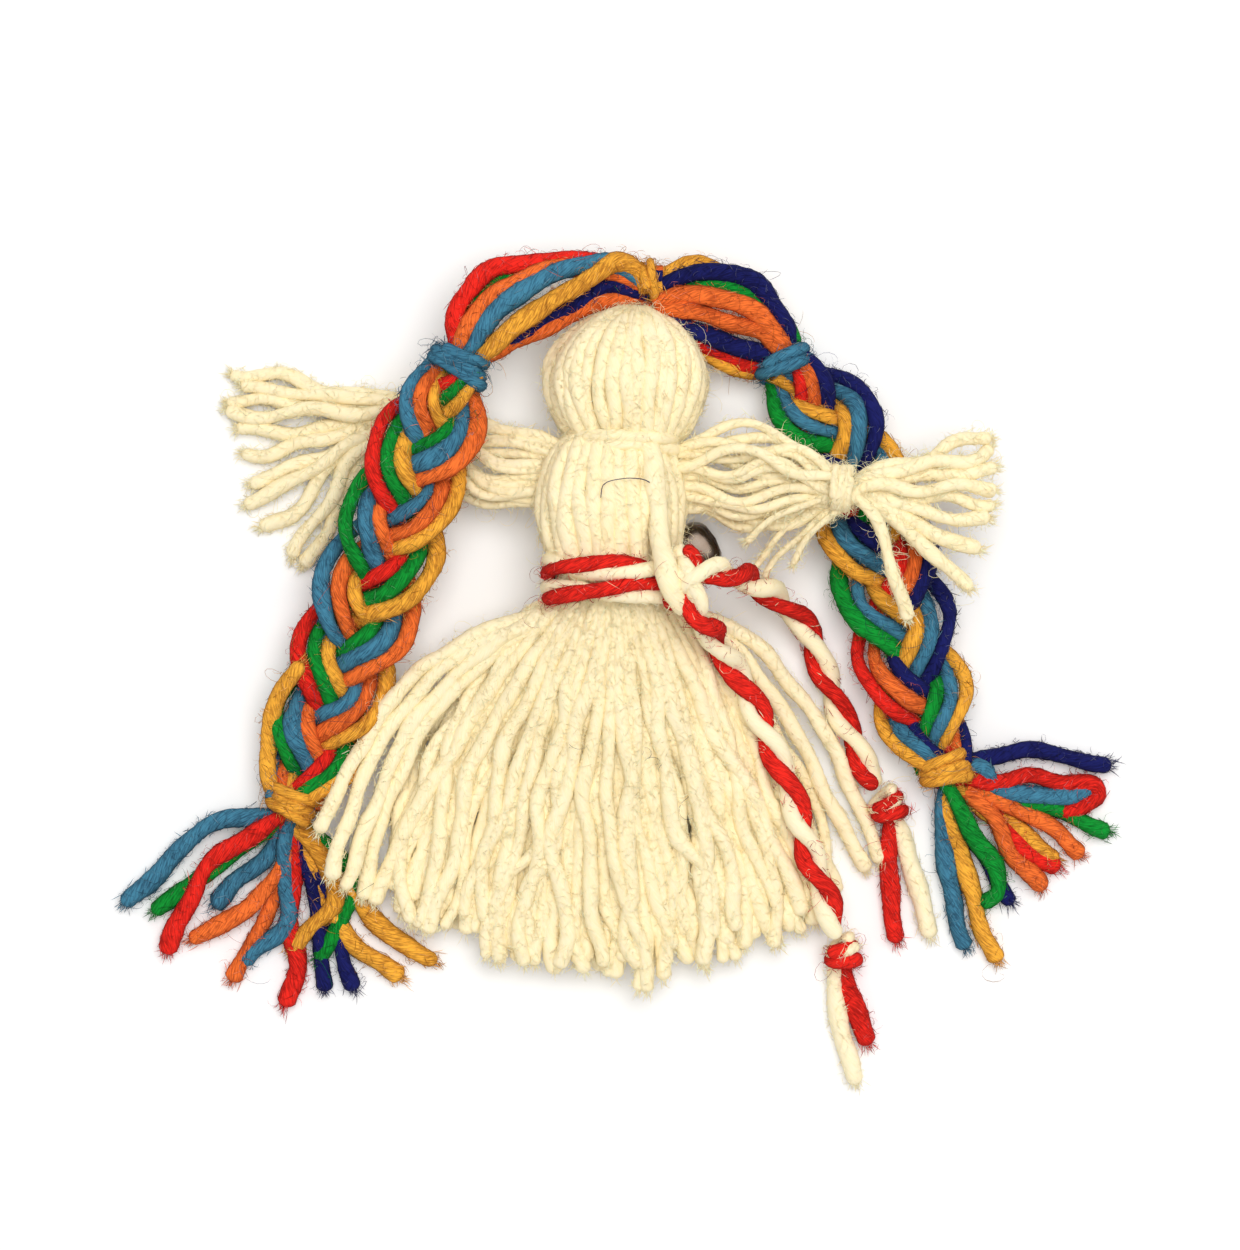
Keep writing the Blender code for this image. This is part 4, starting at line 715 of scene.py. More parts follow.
def fibre_group():
    """Fibres that wind along a yarn: noise drawn out along it, read at (A cos 2 pi u, A sin 2 pi u, B v),
    where u is turns round the yarn, less its twist, and v is mm along it. It sets a height and slides the
    colour between the groove shade and a bright one; the noises that make the height low paint that shade into
    the grooves between fibres, and a broad noise adds tone at random. Each yarn has a shade of its own from 0
    to 1, and a loose fibre turns to the painted highlight as its shade rises from 1 to 2, or to the painted
    fibre shadow as it falls from -1 to -2."""
    group = bpy.data.node_groups.get("Wool fibres")
    if group:
        return group
    group = bpy.data.node_groups.new("Wool fibres", "ShaderNodeTree")
    for name in ("Bright", "Deep", "Hair", "Dark"):
        group.interface.new_socket(name=name, in_out="INPUT", socket_type="NodeSocketColor")
    for name, kind in (("Colour", "NodeSocketColor"), ("Height", "NodeSocketFloat")):
        group.interface.new_socket(name=name, in_out="OUTPUT", socket_type=kind)
    inside, outside = group.nodes.new("NodeGroupInput"), group.nodes.new("NodeGroupOutput")
    coordinates = group.nodes.new("ShaderNodeTexCoord")
    uv = group.nodes.new("ShaderNodeUVMap")
    uv.uv_map = "UVMap"
    split = group.nodes.new("ShaderNodeSeparateXYZ")
    group.links.new(uv.outputs["UV"], split.inputs[0])
    angle = math_node(group, "MULTIPLY", split.outputs["X"], 2 * math.pi)
    round_x, round_y = math_node(group, "COSINE", angle, 0.0), math_node(group, "SINE", angle, 0.0)

    def drawn_out(across, along):
        """Noise with that many cells round the yarn's radius and along each mm."""
        join = group.nodes.new("ShaderNodeCombineXYZ")
        sources = ((round_x, across), (round_y, across), (split.outputs["Y"], along))
        for socket, (value, scale) in zip(join.inputs, sources):
            group.links.new(math_node(group, "MULTIPLY", value, scale), socket)
        return noise_node(group, join.outputs[0], 1.0, 2.0)

    streak, hair = drawn_out(2.8, 0.5), drawn_out(6.5, 1.2)
    broad = noise_node(group, coordinates.outputs["Object"], 330.0, 2.0)
    shade = attribute_node(group, "shade")
    # Painted shade: the streak and hair noises that raise the height also lift the colour, so the low grooves
    # are painted with the groove shade.
    factor = math_node(group, "MULTIPLY", streak, 1.2)
    for source, weight in ((hair, 3.0), (broad, 1.0), (shade, 0.3)):
        factor = math_node(group, "ADD", factor, math_node(group, "MULTIPLY", source, weight))
    colour = mixed(group, less_clamped(group, factor, 2.15), inside.outputs["Deep"], inside.outputs["Bright"])
    # Painted highlight and painted shadow on loose fibres, chosen by their shade.
    colour = mixed(group, less_clamped(group, shade, 1.0), colour, inside.outputs["Hair"])
    colour = mixed(group, less_clamped(group, -1.0, shade), colour, inside.outputs["Dark"])
    height = math_node(group, "ADD", math_node(group, "MULTIPLY", streak, 0.4), hair)
    group.links.new(colour, outside.inputs["Colour"])
    group.links.new(height, outside.inputs["Height"])
    return group


def wool(look):
    """Matt, furry wool in one of the doll's colours, with painted shade on the edges that turn from the view.
    Pale wool is lit a little way in, and its painted groove shade, its painted fibre shadows and its painted
    edge shade are nearer its own colour than in the dyed yarns."""
    name = look + "_yarn"
    if bpy.data.materials.get(name):
        return bpy.data.materials[name]
    made, tree, shader = new_material(name)
    bright = np.array(getattr(bpy.context.scene.doll_colours, look)[:3])
    pale = look in ("cream", "white")
    # The deep colour is painted shade in the fibres' grooves and, darker still for dyed yarn, on the edges; the
    # fibre shadow and the highlight are painted on loose fibres.
    deep = bright * ((1.0, 0.96, 0.85) if pale else (0.5, 0.45, 0.5))
    fibre_shadow = bright * ((1.0, 0.97, 0.9) if pale else (0.3, 0.27, 0.32))
    group = tree.nodes.new("ShaderNodeGroup")
    group.node_tree = fibre_group()
    set_sockets(group, {"Bright": opaque(bright * (1.0 if pale else 1.2)), "Deep": opaque(deep),
                        "Hair": opaque(bright * 1.1, 0.05 if pale else 0.1), "Dark": opaque(fibre_shadow)})
    # Painted shade: the yarn's edges, as they turn away from the view, are darkened towards the shadowed
    # colour, as if shade fell between neighbouring yarns.
    facing = tree.nodes.new("ShaderNodeLayerWeight")
    facing.inputs["Blend"].default_value = 0.5
    shadowed = tree.nodes.new("ShaderNodeRGB")
    shadowed.outputs[0].default_value = opaque(deep * (1.0 if pale else 0.5))
    edge = math_node(tree, "POWER", facing.outputs["Facing"], 3.0)
    colour = mixed(tree, edge, group.outputs["Colour"], shadowed.outputs[0])
    tree.links.new(colour, shader.inputs["Base Color"])
    bump = tree.nodes.new("ShaderNodeBump")
    set_sockets(bump, {"Strength": 0.25 if pale else 0.5, "Distance": 0.3 * MM})
    tree.links.new(group.outputs["Height"], bump.inputs["Height"])
    tree.links.new(bump.outputs["Normal"], shader.inputs["Normal"])
    set_sockets(shader, {"Roughness": 0.95, "Specular IOR Level": 0.12,
                         "Sheen Weight": 0.35 if pale else 0.15, "Sheen Roughness": 0.5,
                         "Sheen Tint": opaque(bright * 1.2, 0.05),
                         "Subsurface Weight": 0.05 if pale else 0.0,
                         "Subsurface Radius": (1.0, 0.75, 0.45), "Subsurface Scale": 0.5 * MM})
    return made


def plated():
    """Nickel plate with dull patches. Where the mesh says so it keeps its own bright colour, and elsewhere
    it is painted with a dark brown reflection.
    """
    if bpy.data.materials.get("pin_plate"):
        return bpy.data.materials["pin_plate"]
    made, tree, shader = new_material("pin_plate")
    coordinates = tree.nodes.new("ShaderNodeTexCoord")
    dull = noise_node(tree, coordinates.outputs["Object"], 900.0, 4.0)
    rough = math_node(tree, "ADD", math_node(tree, "MULTIPLY", dull, 0.3), 0.1)
    tree.links.new(rough, shader.inputs["Roughness"])
    ramp = tree.nodes.new("ShaderNodeValToRGB")
    metal = np.array(bpy.context.scene.doll_colours.metal[:3])
    # Painted reflection: a dark brown that stands in for the dark room mirrored in the cap's faces
    painted_dark_reflection = metal * (0.1, 0.065, 0.045)
    for element, colour in zip(ramp.color_ramp.elements, (painted_dark_reflection, metal)):
        element.color = (*colour, 1.0)
    shine = math_node(tree, "ADD", attribute_node(tree, "polish"), math_node(tree, "MULTIPLY", dull, 0.2))
    tree.links.new(shine, ramp.inputs[0])
    tree.links.new(ramp.outputs[0], shader.inputs["Base Color"])
    shader.inputs["Metallic"].default_value = 1.0
    return made


def settle(made, body, slot, *nodes):
    """Lets a piece ride on a body and stand for CAD nodes. Its slot is not used."""
    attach(made, body)
    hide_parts(*nodes)
    return made


def dress(skein, body, slot, *nodes):
    """Knits a skein and settles it on a body."""
    return settle(skein.knit(), body, slot, *nodes)


def dress_across(skein, bodies, ends, slot, *nodes):
    """Knits a skein for a piece that lies between two bodies, bakes its place into its points and hides its
    CAD nodes. Its bodies, ends and slot are not used.
    """
    made = skein.knit()
    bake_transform(made)
    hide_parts(*nodes)
    return made


def ring_angles(count, wide, deep):
    """Angles at even steps of length round an oval."""
    fine = np.linspace(0, 2 * math.pi, 721)
    run = run_along(np.column_stack((wide * np.cos(fine), deep * np.sin(fine))))
    return np.interp((np.arange(count) + 0.5) / count * run[-1], run, fine)


def bundle(skein, ends, bulge, counts, spread):
    """Yarns laid as meridians on a spindle along Y, in layers one inside the other: at share s and angle q a
    yarn is at the centre line plus (a cos q, b sin q), where a and b go straight from one end's halves to the
    other's and swell between them by sin(pi s^0.9)^0.65 towards the bulge's."""
    yarn = bpy.context.scene.doll_sizes.yarn
    start, end = (np.array(values) for values in ends)
    share = np.linspace(0, 1, 40)
    swell = np.sin(math.pi * share ** 0.9) ** 0.65
    straight = start + (end - start) * share[:, None]
    values = straight + (np.array(bulge) - straight) * swell[:, None] * (1, 0, 1, 1, 1)
    for layer, count in enumerate(counts):
        for angle in ring_angles(count, bulge[3], bulge[4]):
            turn, drift, lift, thick = skein.random.normal(0, 1, 4).clip(-2, 2)
            angle = angle + spread * (turn + 0.7 * drift * np.sin(2 * math.pi * share))
            lift = 0.2 * MM * lift - 0.5 * yarn * layer
            wide, deep = values[:, 3] - yarn / 2 + lift, values[:, 4] - yarn / 2 + lift
            path = np.stack((values[:, 0] + wide * np.cos(angle), values[:, 1],
                             values[:, 2] + deep * np.sin(angle)), axis=1)
            outward = np.array((math.cos(angle[0]), 0, math.sin(angle[0])))
            skein.yarn(path, "cream", yarn * (0.62 + 0.38 * swell) * (1 + 0.08 * thick), outward,
                       0.0 if layer else 0.75, (0, 0), 0.55)


def winding(skein, centre, axis, halves, look, width, turns, pitch, start=0.0):
    """Yarn wound on an oval: at angle q it is at centre + halves (cos q across, sin q up) times
    1 + 0.04 sin 1.7q, and it moves along the axis by the pitch in each turn, a little unevenly."""
    axis = unit(np.array(axis, float))
    across = unit(np.cross(axis, UP))
    up = np.cross(across, axis)
    angle = start + np.linspace(0, 2 * math.pi * turns, int(40 * turns))
    shift = pitch * ((angle - start) / (2 * math.pi) - turns / 2 + 0.22 * np.sin(0.8 * angle + 1.0))
    slack = 1 + 0.04 * np.sin(1.7 * angle)[:, None]
    path = (np.array(centre) + slack * turned(angle, halves[0] * across, halves[1] * up)
            + shift[:, None] * axis)
    skein.yarn(path, look, width, reference=axis)


def rope(skein, path, looks, width, twist, phase=0.0, reference=UP, tips=(1, 1), fuzz=1.0, ends_at=False):
    """Cord twisted from yarns: each winds round the path on a radius of about a quarter of the cord's width.
    The phase is the first yarn's angle where the cord starts, or where it ends."""
    path = even(path, 0.3 * MM)
    run = run_along(path)
    _, across, up = frames_on(path, reference)
    for number, look in enumerate(looks):
        angle = phase + 2 * math.pi * ((run - run[-1] * ends_at) / twist + number / len(looks))
        wound = path + width * 0.235 * turned(angle, across, up)
        skein.yarn(wound, look, width * 0.58, reference=reference, tips=tips, fuzz=fuzz)


class DollHead(bpy.types.Operator):
    """The body hank's loops above the neck, and the cream yarn wound round the neck"""
    bl_idname = "doll.head"
    bl_label = "Head"

    def execute(self, context):
        low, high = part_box("head")
        middle = (low.x + high.x) / 2
        skein = Skein("head_yarns", 11)
        ends = ((middle, NECK_Y - 0.6 * MM, NECK_Z, 4.7 * MM, 3.9 * MM),
                (middle + 1.3 * MM, high.y + 0.5 * MM, HEAD_Z, 1.9 * MM, 2.4 * MM))
        bundle(skein, ends, (middle, 0, HEAD_Z, 9.0 * MM, 7.4 * MM), (34, 26), 0.035)
        dress(skein, "body", "cream_wool", "head")
        wrap = Skein("neck_winding", 12)
        winding(wrap, (middle - 0.4 * MM, NECK_Y, NECK_Z), (0, -1, 0), (5.7 * MM, 4.8 * MM), "cream",
                1.6 * MM, 2.3, 1.1 * MM, 2.4)
        dress(wrap, "body", "cream_wool", "neck_tie")
        return {"FINISHED"}


class DollTorso(bpy.types.Operator):
    """The body hank between the neck and the waist, with the strand that lies over the belt"""
    bl_idname = "doll.torso"
    bl_label = "Torso"

    def execute(self, context):
        low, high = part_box("torso")
        middle = (low.x + high.x) / 2
        skein = Skein("torso_yarns", 21, TORSO_BACK)
        ends = ((middle, NECK_Y + 0.4 * MM, NECK_Z, 4.7 * MM, 3.9 * MM),
                (0.0, WAIST_Y - 0.5 * MM, WAIST_Z, 6.3 * MM, 3.9 * MM))
        bundle(skein, ends, (middle, 0, TORSO_Z, 8.6 * MM, 5.9 * MM), (28, 22), 0.045)
        skein.yarn(through_mm(STRAND_OVER_BELT), "cream", 2.3 * MM)
        skein.yarn(through_mm(SHED_HAIR), "navy", 0.1 * MM, fuzz=0.0)
        dress(skein, "body", "cream_wool", "torso")
        return {"FINISHED"}


def skirt_place(across, along, reach):
    """Plan place on the skirt's fan. across runs from -1 to 1 and along from 0 at the belt to 1 at the hem: a
    quadratic curve from the waist through a bend to the hem, (1-s)^2 a + 2s(1-s) b + s^2 c."""
    fan = ((SKIRT_RIGHT_FAN - SKIRT_LEFT_FAN) / 2 * np.abs(across)
           + (SKIRT_RIGHT_FAN + SKIRT_LEFT_FAN) / 2 * across)
    flare = np.where(across > 0, SKIRT_RIGHT_FLARE, SKIRT_LEFT_FLARE)
    start = np.stack((across * WAIST_WIDTH / 2 * 0.92, np.full_like(across, WAIST_Y - 1.2 * MM)), axis=-1)
    end = np.stack((reach * np.sin(fan), WAIST_Y - reach * np.cos(fan)), axis=-1)
    bend_y = (WAIST_Y - SKIRT_LENGTH / 2) + (SKIRT_LENGTH / 2 - SKIRT_SHOULDER) * np.abs(across) ** 1.5
    bend = np.stack((across * flare, bend_y), axis=-1)
    s = along[:, None]
    return (1 - s) ** 2 * start + 2 * s * (1 - s) * bend + s ** 2 * end


def skirt_heights(across, along):
    """Front and back of the skirt: an oval at the waist that falls to a low dome on a flat back."""
    dome = np.sqrt(np.clip(1 - np.abs(np.clip(across, -1, 1)) ** 2.4, 0, 1))
    fall = np.clip(1 - along / SKIRT_TUCK, 0, 1) ** 1.3
    edge = SKIRT_EDGE / 2 + (WAIST_Z - SKIRT_EDGE / 2) * fall
    top = WAIST_Z + WAIST_DEPTH / 2
    middle = top + (SKIRT_HEM_HEIGHT - top) * along ** 0.9
    front = edge + (middle - edge) * dome
    back = np.maximum(0.0, edge - (SKIRT_EDGE + (WAIST_DEPTH / 2 - SKIRT_EDGE) * fall) * dome)
    return front, back


def skirt_layer(skein, strands, depth, reach, across_from=-1.0, across_to=1.0, lift=0.0, fuzz=1.0, loose=1.0):
    """One layer of strands at a share of the way down from the skirt's front to its back. Each drifts across
    and waves as it runs to the hem, more where it lies loose, and ends at its own length."""
    yarn = bpy.context.scene.doll_sizes.yarn
    along = np.linspace(0, 1, 52)
    for number in range(strands):
        base = across_from + (across_to - across_from) * (number + 0.5) / strands
        drift, wave, ripple, bob, thick = skein.random.uniform(-1, 1, 5)
        phase, pace, share = skein.random.uniform(0, 1, 3)
        across = (base * 0.95 + 0.17 * loose * drift * along ** 1.3
                  + 0.09 * loose * wave * np.sin(2 * math.pi * ((0.8 + 0.8 * pace) * along + phase)) * along
                  + 0.04 * ripple * np.sin(2 * math.pi * ((2.6 + pace) * along + phase)) * along ** 0.7)
        longest = reach * (1 - 0.13 * share ** 1.5) * (1 - 0.02 * abs(base))
        plan = skirt_place(across, along, longest)
        front, back = skirt_heights(across, along)
        inset = yarn / 2 * (0.9 if depth < 0.5 else -0.9)
        height = (front + (back - front) * depth - inset + lift * ease(along * 2.5)
                  + 0.4 * MM * bob * along)
        path = np.column_stack((plan, np.maximum(height, yarn * 0.45)))
        width = yarn * np.interp(along, (0, 0.1, 0.3, 1), (0.5, 0.6, 0.86, 0.84)) * (1 + 0.18 * thick)
        skein.yarn(path, "cream", width, UP if depth < 0.5 else -UP, fuzz, (0, 1), 0.6)


class DollSkirt(bpy.types.Operator):
    """The body hank's loose ends below the belt, in layers"""
    bl_idname = "doll.skirt"
    bl_label = "Skirt"

    def execute(self, context):
        for name, seed, layers in SKIRT_PIECES:
            skein = Skein(f"skirt_{name}_yarns", seed)
            for strands, depth, reach, values in layers:
                skirt_layer(skein, strands, depth, reach * MM, **values)
            if name == "top":
                skein.strays(through_mm(SKIRT_STRAYS), "navy", 16, 5.0 * MM)
            if name == "side":
                for route in SKIRT_WISPS:
                    skein.yarn(through_mm(route), "cream", 1.7 * MM)
            dress(skein, "body", "cream_wool", "skirt")
        return {"FINISHED"}


def loose_ends(skein, centre, out, yarns, root, low):
    """Loose ends beyond a tie. Each leaves the tie from its own place in it, follows its route, and comes
    down from the tie's height to the low one as (1 - s)^2.6, with its layer's rise above that fading as
    (1 - s)^0.7. Cream ends are thinner, wavier and hairier."""
    yarn = bpy.context.scene.doll_sizes.yarn
    across = unit(np.cross(out, UP))
    for number, (look, layer, places) in enumerate(yarns):
        waviness, thickness, hairs = (0.9, 0.76, 1.5) if look == "cream" else (0.6, 1, 1.0)
        turn = 2.4 * number
        radius = root * math.sqrt((number + 0.5) / len(yarns))
        start = centre - out * 1.0 * MM + radius * (math.cos(turn) * across + math.sin(turn) * UP)
        leave = centre + out * 1.2 * MM + radius * math.cos(turn) * across
        path = through([(*start[:2], 0), (*leave[:2], 0)] + [(x * MM, y * MM, 0) for x, y in places])
        share = share_along(path)
        wave, phase = skein.random.uniform(-1, 1), skein.random.uniform(0, 1)
        wave = waviness * MM * wave * np.sin(2 * math.pi * (2.1 * share + phase)) * share
        path = path + frames_on(path)[1] * wave[:, None]
        rise = layer * 1.1 * MM
        path[:, 2] = low + rise * (1 - share) ** 0.7 + (start[2] - low - rise) * (1 - share) ** 2.6
        width = yarn * np.interp(share, (0, 0.1, 0.28, 1), (0.6, 0.75, 1.0, 1.02)) * thickness
        skein.yarn(path, look, width * skein.random.uniform(0.94, 1.08), UP, hairs, (0, 1))


class DollArms(bpy.types.Operator):
    """Both arms with their wrist windings and the loose ends that are the hands"""
    bl_idname = "doll.arms"
    bl_label = "Arms and hands"

    def execute(self, context):
        yarn = context.scene.doll_sizes.yarn
        for side, sign in SIGNS.items():
            shoulder, wrist = SHOULDERS[side], WRISTS[side]
            out = unit((wrist - shoulder) * (1, 1, 0))
            waviness, layer_gap, wrap_half = ARM_SHAPES[side]
            skein = Skein(f"{side}_arm_yarns", 41 + sign)
            for layer, places in ARMS[side]:
                route = through_mm(places)
                share = share_along(route)
                swell = np.sin(math.pi * np.clip(share * 0.92, 0, 1)) ** 0.8
                for half in (-1, 1):
                    bend, phase, lift = skein.random.uniform((0.4, 0, -0.5), (1.0, 1, 0.5))
                    wave = 0.6 * half + 1.1 * bend * np.sin(2 * math.pi * (1.7 * share + phase))
                    wave = MM * swell * waviness * wave
                    path = route + frames_on(route)[1] * wave[:, None]
                    path[:, 2] = (shoulder[2] + (wrist[2] - shoulder[2]) * ease(share)
                                  + (layer + lift) * layer_gap * MM * swell)
                    width = yarn * np.interp(share, (0, 0.2, 0.75, 1), (0.6, 0.58, 0.54, 0.48))
                    skein.yarn(path, "cream", width * skein.random.uniform(0.85, 1.15), tips=(0, 0))
            for route in WRIST_ENDS if side == "right" else ():
                skein.yarn(through_mm(route), "cream", 0.75 * MM, fuzz=1.6, tips=(0, 1))
            skein.strays(path, "cream", 40, 6.0 * MM)
            ends = (shoulder - out * 1.5 * MM, shoulder + out * 3.0 * MM)
            dress_across(skein, ("body", side + "_arm"), ends, "cream_wool", side + "_sleeve")
            wrap = Skein(f"{side}_wrist_winding", 43 + sign)
            winding(wrap, wrist, out, (2.2 * MM, wrap_half * MM), "cream", 1.0 * MM, 3.2, 0.62 * MM, 1.0)
            dress(wrap, side + "_arm", "cream_wool", side + "_wrist_tie")
            hand = Skein(f"{side}_hand_yarns", 45 + sign)
            low = yarn / 2 if side == "left" else wrist[2] - 1.9 * MM
            yarns = [("cream", layer, places) for layer, places in HANDS[side]]
            loose_ends(hand, wrist, out, yarns, 1.3 * MM, low)
            bend = (wrist - out * 0.5 * MM, wrist + out * 2.5 * MM)
            dress_across(hand, (side + "_arm", side + "_hand"), bend, "cream_wool", side + "_hand")
        return {"FINISHED"}


class DollBelt(bpy.types.Operator):
    """The belt's two turns of twisted cord and the knot that ties them"""
    bl_idname = "doll.belt"
    bl_label = "Belt"

    def execute(self, context):
        sizes = context.scene.doll_sizes
        width = 2.9 * MM
        for name, seed, slope, twist, crest in BELT_TURNS:
            low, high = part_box(name)
            centre = np.array((low + high) / 2)
            halves = (high.x - low.x) / 2 - width / 2, (high.z - low.z) / 2 - width / 2
            angle = np.linspace(0, 2 * math.pi, 90) + 0.6
            tilt = 0.3 * MM * slope * np.sin(angle)
            path = np.stack((centre[0] + halves[0] * np.cos(angle), centre[1] + tilt,
                             centre[2] + halves[1] * np.sin(angle)), axis=1)
            front = (angle > 0.6) & (angle < math.pi)
            run = run_along(path)[front][np.argmin(np.abs(path[front, 0] - crest))]
            skein = Skein(name + "_cord", seed)
            rope(skein, path, ("red", "white"), width, twist, math.pi - 2 * math.pi * run / twist,
                 np.array((0, 1, 0)), (0, 0))
            dress(skein, "body", "red_and_white_cord", name)
        low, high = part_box("belt_knot")
        centre = np.array((low + high) / 2)
        outward = unit(np.array((0.6, 0, 0.8)))
        flat = np.cross(outward, (0, 1, 0))
        knot = Skein("belt_knot_cord", 53)
        turn = np.linspace(0, 2 * math.pi, 60)
        loop = (centre - outward * 0.8 * MM + turned(turn, 2.5 * MM * np.array((0, 1, 0)), 1.7 * MM * outward)
                + 0.7 * MM * np.sin(turn / 2)[:, None] * flat)
        rope(knot, loop, ("white", "red"), 2.7 * MM, 9.5 * MM, 0.4, flat, (0, 0))
        for side, bends in KNOT_STUBS.items():
            stub = through(np.vstack((np.array(bends) * MM, TAIL_ROUTES[side][:2])))
            phase = TAIL_PHASE[side] + 2 * math.pi * 2.1 * MM / sizes.cord_twist
            rope(knot, stub, ("red", "white"), 3.0 * MM, sizes.cord_twist, phase, ends_at=True)
        dress(knot, "body", "red_and_white_cord", "belt_knot")
        return {"FINISHED"}


class DollTails(bpy.types.Operator):
    """The belt's two free tails, with their knots and the two yarns that come apart below each"""
    bl_idname = "doll.tails"
    bl_label = "Belt tails"

    def execute(self, context):
        sizes = context.scene.doll_sizes
        width = 3.2 * MM
        for side, seed in (("left", 61), ("right", 65)):
            route = through(TAIL_ROUTES[side])
            skein = Skein(f"{side}_tail_cord", seed)
            rope(skein, route, ("red", "white"), width, sizes.cord_twist, TAIL_PHASE[side], fuzz=0.0)
            tail = dress(skein, "body", "red_and_white_cord", side + "_tail")
            hairs = Skein(f"{side}_tail_fibres", seed + 1)
            for look, amount in (("red", 0.55), ("white", 0.25)):
                hairs.fuzz(route, np.full(len(route), width * 0.42), frames_on(route), look, amount, (0, 0))
            hairy = dress(hairs, "body", "red_and_white_cord")
            low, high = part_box(side + "_tail_knot")
            centre = np.array((low + high) / 2)
            halves = (1.5 * MM, 1.45 * MM)
            knot = Skein(f"{side}_tail_knot_cord", seed + 2)
            heading = unit((route[-1] - route[-8]) * (1, 1, 0))
            winding(knot, centre, heading, halves, "red", 1.5 * MM, 1.6, 1.3 * MM, 0.5)
            winding(knot, centre - heading * 0.9 * MM, unit(heading + np.array((0.5, -0.4, 0))), halves,
                    "white", 1.35 * MM, 1.1, 1.0 * MM, 2.1)
            knotted = dress(knot, "body", "red_wool", side + "_tail_knot")
            ends = Skein(f"{side}_tail_end_yarns", seed + 3)
            for look, places in TAIL_ENDS[side].items():
                points = [centre * (1, 1, 0.55)] + [np.array((x, y, 1.1)) * MM for x, y in places]
                ends.yarn(through(points), look, 2.1 * MM * np.array((0.7, 1, 1.05, 0.9)))
            apart = dress(ends, "body", "red_wool", f"{side}_tail_end_red", f"{side}_tail_end_white")
        return {"FINISHED"}


def metal_piece(name, points, faces, polish=1.0):
    """A smooth metal mesh object from points and faces, with how much of its plate's own bright colour each
    point keeps against a painted dark reflection.
    """
    mesh = bpy.data.meshes.new(name)
    mesh.from_pydata(points.tolist(), [], faces)
    mesh.validate()
    mesh.shade_smooth()
    mesh.set_sharp_from_angle(angle=math.radians(45))
    bright_share_layer = mesh.attributes.new("polish", "FLOAT", "POINT")
    bright_share_layer.data.foreach_set("value", np.broadcast_to(polish, len(points)).astype(np.float32))
    mesh.materials.append(plated())
    return placed(name, mesh)


def wire(name, path, width, pointed=0.0):
    """Round wire along a path: circles square to it, drawn in to a point at the end where asked."""
    sides = 14
    path = even(path, 0.18 * MM)
    run = run_along(path)
    half = width / 2 * np.ones(len(path))
    if pointed:
        half = half * np.clip((run[-1] - run) / pointed, 0.08, 1) ** 0.8
    _, across, up = frames_on(path)
    skin = rings_round(path, half[:, None], sides, across, up)
    quads = ring_faces(len(path), sides)[2].tolist()
    last = (len(path) - 1) * sides
    caps = [list(range(sides))[::-1], list(range(last, last + sides))]
    return metal_piece(name, skin.reshape(-1, 3), quads + caps)


class DollPin(bpy.types.Operator):
    """The safety pin behind the waist and the red stitches that hold it"""
    bl_idname = "doll.pin"
    bl_label = "Safety pin"

    def execute(self, context):
        coil = JOINT_AT["needle_spring_turn"]
        flat_coil = coil * (1, 1, 0)
        turn = math.radians(30)
        along = np.array((math.cos(turn), math.sin(turn), 0.0))
        across = np.array((-math.sin(turn), math.cos(turn), 0.0))
        low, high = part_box("pin_leg")
        half, reach, gap = 1.35 * MM, 19.0 * MM, 2.1 * MM
        angle = np.linspace(2 * math.pi, math.pi / 2, 30)
        steps = np.linspace(0, 1, 12)[1:, None]
        for node, body, sign, z, point in (("pin_leg", "body", -1, (low.z + high.z) / 2, 0.0),
                                           ("pin_needle", "needle", 1, coil[2], 3.0 * MM)):
            circle = half * turned(angle, along, sign * across)
            straight = reach * steps * along + sign * (half + (gap - half) * steps) * across
            path = np.vstack((circle, straight)) + flat_coil + np.array((0, 0, z))
            settle(wire(node + "_wire", path, 0.7 * MM, point), body, "nickel_wire", node)
        self.cap(flat_coil, along, across)
        for number in (1, 2):
            low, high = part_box(f"pin_stitch_{number}")
            stitch = Skein(f"pin_stitch_{number}_yarn", 70 + number)
            halves = (1.75 * MM, (high.z - low.z) / 2 - 0.45 * MM)
            winding(stitch, np.array((low + high) / 2), along, halves, "red", 0.85 * MM, 1.0, 0.0, 0.3)
            dress(stitch, "body", "red_wool", f"pin_stitch_{number}")
        return {"FINISHED"}

    def cap(self, coil, along, across):
        """A pressed cap: at share s from its mouth its half width is w (1 - s^4)^(1/3) and its half height
        h (1 - s^5)^(1/3), a flattened tube whose far end closes round, with a rolled rim at the mouth."""
        low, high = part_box("pin_cap")
        length, half_width = 4.4 * MM, 3.1 * MM
        middle, half_height = (low.z + high.z) / 2, (high.z - low.z) / 2
        share = np.concatenate(((0.0, 0.0, 0.03, 0.06), np.linspace(0.1, 1.0, 18)))
        flare = np.concatenate(((0.9, 1.04, 1.05, 1.0), np.ones(18)))
        turn = np.linspace(0, 2 * math.pi, 40, endpoint=False)
        outline = [np.sign(values) * np.abs(values) ** power
                   for values, power in ((np.cos(turn), 0.8), (np.sin(turn), 0.7))]
        wide = half_width * flare * (1 - share ** 4) ** (1 / 3)
        deep = half_height * flare * (1 - share ** 5) ** (1 / 3)
        mouth = coil + along * 16.8 * MM + np.array((0, 0, middle))
        skin = (mouth + (share * length)[:, None, None] * along
                + (wide[:, None] * outline[0])[..., None] * across
                + (deep[:, None] * outline[1])[..., None] * UP)
        quads = ring_faces(len(share), len(turn))[2].tolist()
        # Painted reflection: the cap's faces get the dark brown painted reflection, while its sides and the rim
        # at its mouth keep the bright plate
        edge = np.abs(np.cos(turn))[None, :] ** 6 * np.ones((len(share), 1))
        polish = np.maximum(edge, (share < 0.08)[:, None])
        made = metal_piece("pin_cap_shell", skin.reshape(-1, 3), quads, polish.ravel())
        wall = made.modifiers.new("wall", "SOLIDIFY")
        wall.thickness = 0.3 * MM
        wall.offset = -1
        settle(made, "body", "nickel_wire", "pin_cap")


